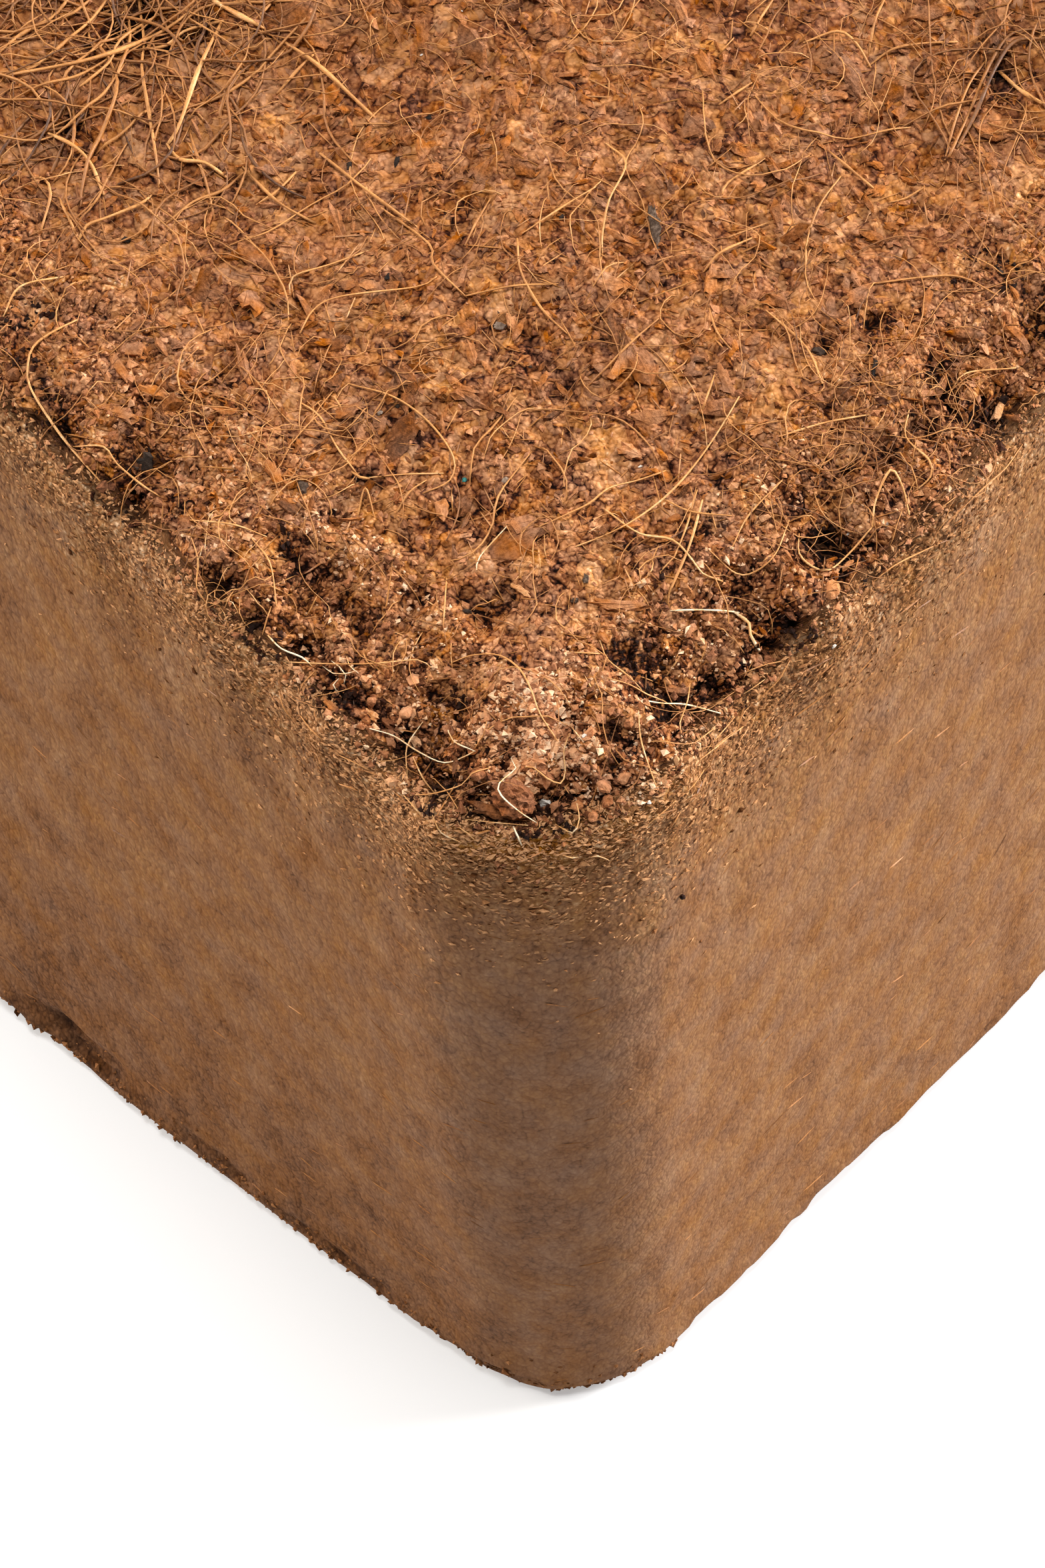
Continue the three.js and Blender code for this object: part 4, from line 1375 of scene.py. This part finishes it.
# %% [markdown]
# ## The other fibres
# Between the traced ones lie many thin, dull fibres. Tangles fill the photo's upper corners
# and some hollows of the rim. The far part of the top has fewer and thicker fibres. Each
# group says how many fibres it has, then their lengths, radii, tones, curls and steps. A
# tangle says its middle, as a pixel, and its reach before that.

# %% Fibres over the whole top
THIN_FIBRES = (800, (2, 10), (0.03, 0.055), (0.2, 0.75), (0.15, 0.5), 0.8)
MIDDLING_FIBRES = (110, (5, 18), (0.045, 0.075), (0.25, 0.65), (0.12, 0.35), 1.0)
FAR_FIBRES = (1250, (6, 34), (0.1, 0.2), (0.2, 0.75), (0.03, 0.15), 2.8)
MIDDLING_CLEAR, FAR_CLEAR = 36, 118
TANGLES = [
    ((140, 90), 11, 150, (6, 24), (0.07, 0.15), (0.1, 0.52), (0.06, 0.25), 1.2),
    ((1530, 150), 8, 24, (8, 24), (0.05, 0.1), (0.2, 0.6), (0.06, 0.2), 1.2),
    ((1330, 670), 8, 110, (3, 11), (0.03, 0.06), (0.1, 0.65), (0.3, 0.8), 0.6),
    ((420, 640), 6, 50, (3, 10), (0.03, 0.06), (0.4, 0.8), (0.2, 0.5), 0.7),
    ((320, 880), 3, 26, (2, 7), (0.03, 0.05), (0.4, 0.9), (0.2, 0.6), 0.6),
]
NEAR_SIDES, FAR_SIDES = 4, 3
rng = np.random.default_rng(21)
near_ranges = ((STRAIGHT - NEAR_REACH, HALF), (-HALF, NEAR_REACH - STRAIGHT))


def fibre_group(ranges, group, sides, clear=0):
    count, *rest = group
    return fibres_over(count, *ranges, *rest, sides, rng, clear)


thin = fibre_group(near_ranges, THIN_FIBRES, NEAR_SIDES)
middling = fibre_group(near_ranges, MIDDLING_FIBRES, NEAR_SIDES, MIDDLING_CLEAR)
tangles = []
for pixel, reach, *group in TANGLES:
    middle = on_skin_at(pixel)[0]
    ranges = [(middle[k] - reach, middle[k] + reach) for k in (0, 1)]
    tangles += fibre_group(ranges, group, NEAR_SIDES)
near_fibres = gather("near_fibres", traced + thin + middling + tangles, flat=False)
far = fibre_group((far_range, far_range), FAR_FIBRES, FAR_SIDES, FAR_CLEAR)
far_fibres = gather("far_fibres", far, flat=False)

# %% [markdown]
# ## Splinters
# Splinters are broken ends of fibre, 1 to 3 mm long and thin as a hair. Thousands lie on
# the near top. Some are pressed into the sides all round, nearly level, and every fourth of
# those lies just below the rim.

# %% Splinters
SPLINTERS, SIDE_SPLINTERS = 3600, 760
RIM_SPLINTER_DEPTH = 4.0
LARGEST_SPLINTER = (3.2, 0.18, 0.15)
splinter_sizes = sizes_of(SPLINTERS, 1.6, 0.45, ([0.7, 0.03, 0.03], [1.2, 0.06, 0.05]), rng)
splinter_sizes[:, 1:] = np.clip(splinter_sizes[:, 1:], 0.06, 0.13)
top_spots = spots_on_top(SPLINTERS, near_x, near_y, rng)
top_splinters = strew(
    splinter_template(), top_spots, splinter_sizes,
    shaded_tones(top_spots[0], 0.1, 0.85, rng), rng, tilt=0.2, dent=0.06, rise=0.8,
)
splinter_arcs = np.concatenate([
    rng.uniform(-NEAR_ARC, NEAR_ARC, SIDE_SPLINTERS // 2),
    rng.uniform(NEAR_ARC, PERIMETER - NEAR_ARC, SIDE_SPLINTERS - SIDE_SPLINTERS // 2),
])
splinter_downs = rng.uniform(PRESSED_TO, SIDE_END, SIDE_SPLINTERS)
splinter_downs[::4] = PRESSED_TO + rng.exponential(RIM_SPLINTER_DEPTH, len(splinter_downs[::4]))
side_spots = spots_on_strip(splinter_arcs, splinter_downs)
side_sizes = sizes_of(SIDE_SPLINTERS, 1.6, 0.35, ([0.8, 0.06, 0.05], [1.3, 0.1, 0.08]), rng)
side_sizes = np.minimum(side_sizes, LARGEST_SPLINTER)
side_splinters = strew(
    splinter_template(), side_spots, side_sizes, level_tones(SIDE_SPLINTERS, 0.1, 0.55, rng),
    rng, tilt=0.04, dent=0.06, rise=0.1, heading=level_headings(side_spots[1], 0.3),
)
splinters = gather("splinters", [top_splinters, side_splinters])

# %% [markdown]
# ## Colours
# The colours are written as the hex codes that one would pick from a picture, which are sRGB.
# Blender's sockets want linear light, so one function turns them, for lights and materials.


# %% sRGB to linear
def linear(hex_colour):
    channels = [int(hex_colour[k:k + 2], 16) / 255 for k in (1, 3, 5)]
    return [c / 12.92 if c <= 0.04045 else ((c + 0.055) / 1.055) ** 2.4 for c in channels] + [1.0]


COIR_BROWN = "#9b6740"
print("coir brown, linear:", [round(channel, 3) for channel in linear(COIR_BROWN)])

# %% [markdown]
# ## The floor
# The block stands on a plain white sweep, 8 metres across here, so that no edge of it is
# seen from above.

# %% Floor
FLOOR_HALF = 4.0
floor_corners = [(x * FLOOR_HALF, y * FLOOR_HALF, 0) for x, y in ((-1, -1), (1, -1), (1, 1), (-1, 1))]
floor_mesh = bpy.data.meshes.new("floor")
floor_mesh.from_pydata(floor_corners, [], [(0, 1, 2, 3)])
floor = bpy.data.objects.new("floor", floor_mesh)
bpy.context.scene.collection.objects.link(floor)
print("floor across, metres:", 2 * FLOOR_HALF)

# %% [markdown]
# ## Studio light
# Three round softboxes. One overhead is small enough for each crumb to cast its shadow. One
# stands to the right behind the block and one to the left, a little warm: they light the two
# faces from their far ends, and so the corner between them stays the darkest part. A faint
# white room fills the shadows.


# %% Lights
def soft_light(name, place, size, power, tint="#ffffff", aim=(0.1, -0.1, 0.06)):
    data = bpy.data.lights.new(name, "AREA")
    data.color = linear(tint)[:3]
    data.shape = "DISK"
    data.size = size
    data.energy = power
    light = bpy.data.objects.new(name, data)
    light.location = place
    light.rotation_euler = (Vector(aim) - Vector(place)).to_track_quat("-Z", "Y").to_euler()
    bpy.context.scene.collection.objects.link(light)
    print(f"{name}: {power} W")


soft_light("overhead", (0.1, -0.1, 1.5), 0.5, 20.4)
soft_light("right_side", (0.75, 1.05, 0.6), 0.5, 45.5)
soft_light("left_side", (-1.1, -0.65, 0.5), 0.5, 22, "#fff6ea")
WHITE = (1.0, 1.0, 1.0, 1.0)
ROOM_LIGHT = 0.08
world = bpy.data.worlds.new("studio")
world.use_nodes = True
background = world.node_tree.nodes["Background"].inputs
background["Color"].default_value = WHITE
background["Strength"].default_value = ROOM_LIGHT
bpy.context.scene.world = world
bpy.context.scene.view_settings.view_transform = "Standard"

# %% [markdown]
# ## Building a material
# A material is a small network of nodes: patterns, sums, colour ramps and at the end the
# shader. `add_node` adds one node, sets its options, and fills each input with either a
# number or the output of another node; where a node has several sockets of one name, they
# are given by their place in its list. `weighted_sum` adds up patterns, each with its share
# and measured from its own middle, so that the sum's middle stays where it was.


# %% Node helpers
PER_MM = 1000.0


def add_node(material, kind, inputs=None, **settings):
    node = material.node_tree.nodes.new(kind)
    for name, value in settings.items():
        setattr(node, name, value)
    for socket, value in (inputs or {}).items():
        if isinstance(value, bpy.types.NodeSocket):
            material.node_tree.links.new(value, node.inputs[socket])
        else:
            node.inputs[socket].default_value = value
    return node


def new_material(name):
    material = bpy.data.materials.new(name)
    material.use_nodes = True
    material.node_tree.nodes.clear()
    return material


def weighted_sum(material, start, parts):
    level = start
    for part, share, middle in parts:
        offset = add_node(material, "ShaderNodeMath", {0: part, 1: middle}, operation="SUBTRACT")
        level = add_node(material, "ShaderNodeMath", {
            0: offset.outputs[0], 1: share, 2: level,
        }, operation="MULTIPLY_ADD").outputs[0]
    return level


# %% [markdown]
# ## Tones of coir
# One number, the level, decides how dark a spot is, and a ramp gives it a colour. The dark
# end is nearly black, for the painted shade between the crumbs; the middle is reddish brown,
# and dry dust on top is pale.
# The pressed sides have duller, closer tones, loose crumbs stay tan where pith would turn
# pale, flecks on the sides are a browner tan, fibres are golden, and the few grains that
# are no coir are grey or teal.

# %% Tone ramps
PITH_TONES = [
    (0.0, "#0e0402"), (0.14, "#2f150a"), (0.3, "#693c21"), (0.52, "#9b6740"),
    (0.75, "#b88056"), (0.92, "#cb976d"), (1.0, "#d8b08a"),
]
SIDE_TONES = [
    (0.0, "#2b170b"), (0.2, "#573720"), (0.38, "#7a5234"), (0.5, "#865d3c"),
    (0.62, "#916843"), (0.8, "#a47d59"), (1.0, "#c8a583"),
]
ODD_TONES = [
    (0.0, "#1f1c1b"), (0.3, "#46362b"), (0.5, "#806b5b"), (0.8, "#bcaf9f"), (1.0, "#e9e0d3"),
]
CRUMB_TONES = [
    (0.0, "#190a04"), (0.2, "#3b1c0d"), (0.42, "#8e5837"), (0.65, "#bc8158"),
    (0.85, "#cf9b70"), (1.0, "#e2bb96"),
]
FLECK_TONES = [
    (0.0, "#28160b"), (0.25, "#573319"), (0.5, "#885a37"), (0.75, "#a6744a"), (1.0, "#c39064"),
]
TEAL_TONES = [(0.0, "#174a47"), (1.0, "#3d8f86")]
HUSK_TONES = [
    (0.0, "#38200f"), (0.25, "#6d4022"), (0.5, "#99613a"), (0.75, "#b4784b"), (1.0, "#ca9669"),
]
FIBRE_TONES = [
    (0.0, "#4a3022"), (0.35, "#966031"), (0.7, "#c68a4f"), (0.88, "#d7a66e"), (1.0, "#e9d5b2"),
]


def toned(material, level, tones):
    node = add_node(material, "ShaderNodeValToRGB", {"Fac": level})
    ramp = node.color_ramp
    while len(ramp.elements) > 1:
        ramp.elements.remove(ramp.elements[-1])
    ramp.elements[0].position = tones[0][0]
    ramp.elements[0].color = linear(tones[0][1])
    for place, colour in tones[1:]:
        ramp.elements.new(place).color = linear(colour)
    return node.outputs["Color"]


# %% [markdown]
# ## Pith: where the pattern sits
# Pith is husk dust pressed to crumbs. Its pattern is fixed to the block's own millimetres.
# The skin's layers say at each point how pressed and rough it is, how much painted shade its
# hollows get and how much painted shading the corner gets. On the pressed sides the pattern
# is drawn almost twice as tall as real, because the lens looks down on them so steeply. A soft
# noise shifts all places a little, so that no cell is round.

# %% Pith: layers and places
coir_pith = new_material("coir_pith")
place = add_node(coir_pith, "ShaderNodeTexCoord").outputs["Object"]
tone, pressed, hollow_and_shade, rough, painted_corner_shading = [
    add_node(coir_pith, "ShaderNodeAttribute", attribute_name=layer).outputs["Fac"]
    for layer in SKIN_LAYERS
]
DRAWN_TALL = (1.0, 1.0, 0.55)
tall = add_node(coir_pith, "ShaderNodeMapping", {"Vector": place, "Scale": DRAWN_TALL}).outputs[0]
seen = add_node(
    coir_pith, "ShaderNodeMix", {"Factor": pressed, 4: place, 5: tall}, data_type="VECTOR",
).outputs[1]
DRIFT_SIZE, DRIFT_REACH = 1.1, 0.7
drift = add_node(
    coir_pith, "ShaderNodeTexNoise", {"Vector": seen, "Scale": PER_MM / DRIFT_SIZE, "Detail": 2.0},
)
shifted = add_node(coir_pith, "ShaderNodeVectorMath", {
    0: drift.outputs["Color"], 1: (DRIFT_REACH / PER_MM,) * 3, 2: seen,
}, operation="MULTIPLY_ADD").outputs[0]

# %% [markdown]
# ## Pith: grains, crumbs and flakes
# Three sizes of cells, as the real stuff has: grains of 0.36 mm, crumbs of about 1 mm and
# flakes of 2 mm. Each cell has a tone of its own. Crumbs and flakes get a dark joint round
# them: painted shade, where light is lost between two of them.

# %% Pith: cells
GRAIN, CRUMB, FLAKE = 0.36, 0.95, 2.1
JOINT_SHADE = 0.12
grain, crumb, flake = [
    add_node(coir_pith, "ShaderNodeTexVoronoi", {"Vector": shifted, "Scale": PER_MM / size})
    for size in (GRAIN, CRUMB, FLAKE)
]
grain_tone, crumb_tone, flake_tone = [
    add_node(coir_pith, "ShaderNodeSeparateColor", {"Color": cells.outputs["Color"]}).outputs["Red"]
    for cells in (grain, crumb, flake)
]
joints = [
    add_node(
        coir_pith, "ShaderNodeTexVoronoi", {"Vector": shifted, "Scale": PER_MM / size},
        feature="DISTANCE_TO_EDGE",
    ).outputs["Distance"]
    for size in (CRUMB, FLAKE)
]
crumb_joint_shade, flake_joint_shade = [
    add_node(coir_pith, "ShaderNodeMath", {0: joint, 1: JOINT_SHADE}, operation="MINIMUM").outputs[0]
    for joint in joints
]

# %% [markdown]
# ## Pith: how dark each spot is
# Grit of 0.3 mm, the cells' tones, each grain painted darker towards its edge and the painted
# shade of the joints make the fine part, which counts less where the skin is pressed smooth.
# Patches of 5 mm, the painted shade of the hollows and the painted shading of the corner make
# the broad part. Flakes show on the loose top alone, and just below the rim the pressed skin
# has streaks of 0.8 mm that lie level.

# %% Pith: the level
PATCH, STAIN, GRIT = 5.0, 3.2, 0.3
STREAK = 0.8
DRAWN_LEVEL = (1.0, 1.0, 1.8)
patches, stains, grit = [
    add_node(coir_pith, "ShaderNodeTexNoise", {
        "Vector": seen, "Scale": PER_MM / size, "Detail": 3.0, "Roughness": 0.6,
    }).outputs["Fac"]
    for size in (PATCH, STAIN, GRIT)
]
laid = add_node(coir_pith, "ShaderNodeMapping", {"Vector": place, "Scale": DRAWN_LEVEL}).outputs[0]
streaks = add_node(coir_pith, "ShaderNodeTexNoise", {
    "Vector": laid, "Scale": PER_MM / STREAK, "Detail": 3.0, "Roughness": 0.7,
}).outputs["Fac"]
# Painted shade: each grain darker towards its edge, and dark joints between crumbs.
fine = weighted_sum(coir_pith, 0.0, (
    (tone, 0.16, 0.5), (grain_tone, 0.26, 0.5), (crumb_tone, 0.18, 0.5), (grit, 0.5, 0.5),
    (grain.outputs["Distance"], -0.4, 0.45), (crumb_joint_shade, 1.6, 0.09),
))
# Painted shade of the hollows and painted shading of the corner darken the broad part.
broad = weighted_sum(coir_pith, 0.5, (
    (patches, 0.5, 0.5), (hollow_and_shade, -0.47, 0.0), (painted_corner_shading, -0.04, 0.0), (rough, 0.07, 0.25),
))
loose = add_node(coir_pith, "ShaderNodeMath", {0: 1.0, 1: pressed}, operation="SUBTRACT").outputs[0]
flakes = weighted_sum(coir_pith, 0.0, ((flake_tone, 0.24, 0.5), (flake_joint_shade, 1.5, 0.1)))
strength = weighted_sum(coir_pith, 1.12, ((rough, 0.72, 1.0),))
streaky = add_node(coir_pith, "ShaderNodeMath", {0: rough, 1: pressed}, operation="MULTIPLY").outputs[0]
lines = weighted_sum(coir_pith, 0.0, ((streaks, 2.2, 0.5),))
level = broad
for pattern, share in ((flakes, loose), (fine, strength), (lines, streaky)):
    level = add_node(
        coir_pith, "ShaderNodeMath", {0: pattern, 1: share, 2: level}, operation="MULTIPLY_ADD",
    ).outputs[0]
print("pith nodes so far:", len(coir_pith.node_tree.nodes))

# %% [markdown]
# ## Pith: colour and shader
# The level is turned into a colour by the ramp of the loose top or of the pressed side. Both
# are a little richer or greyer from stain to stain, and on the top each flake leans to red or
# to yellow, as husk of different ages does. Dry pith is dull: a rough surface with hardly any
# gloss tells the eye that it is dusty, and a bump as deep as the joints catches the light
# that rakes the top.

# %% Pith: the material
PITH_BUMP = 0.18
PITH_ROUGHNESS, PITH_GLOSS = 0.9, 0.06
top = toned(coir_pith, level, PITH_TONES)
top = add_node(coir_pith, "ShaderNodeHueSaturation", {
    "Color": top, "Hue": weighted_sum(coir_pith, 0.5, ((flake_tone, 0.007, 0.5),)),
    "Saturation": weighted_sum(coir_pith, 1.0, ((stains, 0.35, 0.5), (crumb_tone, 0.12, 0.5))),
}).outputs[0]
side = toned(coir_pith, level, SIDE_TONES)
# The side is painted greyer where the corner gets its painted shade.
warmth = weighted_sum(coir_pith, 1.0, ((stains, 0.4, 0.5), (painted_corner_shading, -0.08, 0.0)))
side = add_node(coir_pith, "ShaderNodeHueSaturation", {"Color": side, "Saturation": warmth}).outputs[0]
colour = add_node(
    coir_pith, "ShaderNodeMix", {"Factor": pressed, 6: top, 7: side}, data_type="RGBA",
).outputs[2]
height = add_node(coir_pith, "ShaderNodeMath", {
    0: crumb.outputs["Distance"], 1: 1.4, 2: grain.outputs["Distance"],
}, operation="MULTIPLY_ADD").outputs[0]
bump_strength = weighted_sum(coir_pith, 0.0, ((strength, 0.85, 0.0),))
bump = add_node(coir_pith, "ShaderNodeBump", {
    "Height": height, "Strength": bump_strength, "Distance": PITH_BUMP / PER_MM,
}, invert=True)
shader = add_node(coir_pith, "ShaderNodeBsdfPrincipled", {
    "Base Color": colour, "Roughness": PITH_ROUGHNESS, "Specular IOR Level": PITH_GLOSS,
    "Normal": bump.outputs[0],
})
add_node(coir_pith, "ShaderNodeOutputMaterial", {"Surface": shader.outputs[0]})
print("pith nodes:", len(coir_pith.node_tree.nodes))

# %% [markdown]
# ## Crumbs, chips, grains and fibres
# Each loose bit has its own tone, and the material adds mottles of 0.3 mm to it. Loose pith
# and husk are a little glossier than the pressed grain, and stains of 2 mm change their hue
# from bit to bit. Mineral grains are matt. Fibres and the teal chip are the glossiest: a
# coir hair is smooth and waxy, and a bright line along it tells the eye that it is round.
# After its tones each material says its roughness, its gloss and its bump in millimetres.


# %% Materials of the loose bits
MOTTLE, TINT_SIZE = 0.3, 2.0
HUE_SHARE = 0.02
BITS_BUMP = 0.8


def bits_material(name, tones, roughness, gloss, bump_depth, tint=0.0, mottled=0.6):
    material = new_material(name)
    place = add_node(material, "ShaderNodeTexCoord").outputs["Object"]
    tone = add_node(material, "ShaderNodeAttribute", attribute_name="tone").outputs["Fac"]
    mottle = add_node(material, "ShaderNodeTexNoise", {
        "Vector": place, "Scale": PER_MM / MOTTLE, "Detail": 4.0, "Roughness": 0.65,
    }).outputs["Fac"]
    stain = add_node(
        material, "ShaderNodeTexNoise", {"Vector": place, "Scale": PER_MM / TINT_SIZE},
    ).outputs["Fac"]
    level = weighted_sum(material, tone, ((mottle, mottled, 0.5),))
    colour = add_node(material, "ShaderNodeHueSaturation", {
        "Color": toned(material, level, tones),
        "Hue": weighted_sum(material, 0.5, ((stain, HUE_SHARE * tint, 0.5),)),
        "Saturation": weighted_sum(material, 1.0, ((stain, -tint, 0.5),)),
    }).outputs[0]
    bump = add_node(material, "ShaderNodeBump", {
        "Height": mottle, "Strength": BITS_BUMP, "Distance": bump_depth / PER_MM,
    })
    shader = add_node(material, "ShaderNodeBsdfPrincipled", {
        "Base Color": colour, "Roughness": roughness, "Specular IOR Level": gloss,
        "Normal": bump.outputs[0],
    })
    add_node(material, "ShaderNodeOutputMaterial", {"Surface": shader.outputs[0]})
    return material


loose_pith = bits_material("loose_pith", CRUMB_TONES, 0.75, 0.12, 0.25, tint=0.3)
pressed_grain = bits_material("pressed_grain", FLECK_TONES, 0.9, 0.06, 0.2)
coir_husk = bits_material("coir_husk", HUSK_TONES, 0.8, 0.1, 0.3, tint=0.6, mottled=1.0)
mineral_grain = bits_material("mineral_grain", ODD_TONES, 0.9, 0.1, 0.2)
teal_chip = bits_material("teal_chip", TEAL_TONES, 0.6, 0.3, 0.1)
coir_hair = bits_material("coir_hair", FIBRE_TONES, 0.5, 0.3, 0.04)
print("materials:", len(bpy.data.materials))

# %% [markdown]
# ## The floor's finish
# The floor is white and matt. In a studio such a sweep gets its own lamps. Here about half
# of its light is its own: it stays white and lights the block from below. The other half is
# reflected light, so a faint shadow is left where the block touches it.

# %% White sweep
SWEEP_GLOW = 0.37
SWEEP_COLOUR, SWEEP_ROUGHNESS = "#c4c4c4", 0.8
sweep = new_material("white_sweep")
sweep_shader = add_node(sweep, "ShaderNodeBsdfPrincipled", {
    "Base Color": linear(SWEEP_COLOUR), "Roughness": SWEEP_ROUGHNESS,
    "Emission Color": WHITE, "Emission Strength": SWEEP_GLOW,
})
add_node(sweep, "ShaderNodeOutputMaterial", {"Surface": sweep_shader.outputs[0]})
floor_mesh.materials.append(sweep)

# %% [markdown]
# ## Tie the pieces to the block
# All pieces belong to the one block and stand in for its plain solid, which is hidden. Each
# piece gets its material and is tied to the block.

# %% Tie the pieces to the frame
finishes = {
    near_top: (coir_pith, "pressed_coir"),
    near_sides: (coir_pith, "pressed_coir"),
    far_skin: (coir_pith, "pressed_coir"),
    near_crumbs: (loose_pith, "pressed_coir"),
    side_flecks: (pressed_grain, "pressed_coir"),
    near_chips: (coir_husk, "pressed_coir"),
    odd_grains: (mineral_grain, "pressed_coir"),
    teal_grain: (teal_chip, "pressed_coir"),
    far_bits: (coir_husk, "pressed_coir"),
    splinters: (coir_hair, "coir_fibre"),
    near_fibres: (coir_hair, "coir_fibre"),
    far_fibres: (coir_hair, "coir_fibre"),
}
for piece, (material, slot) in finishes.items():
    piece.data.materials.append(material)
    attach(piece, "root")
    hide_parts("bale")
print("pieces tied:", len(finishes))
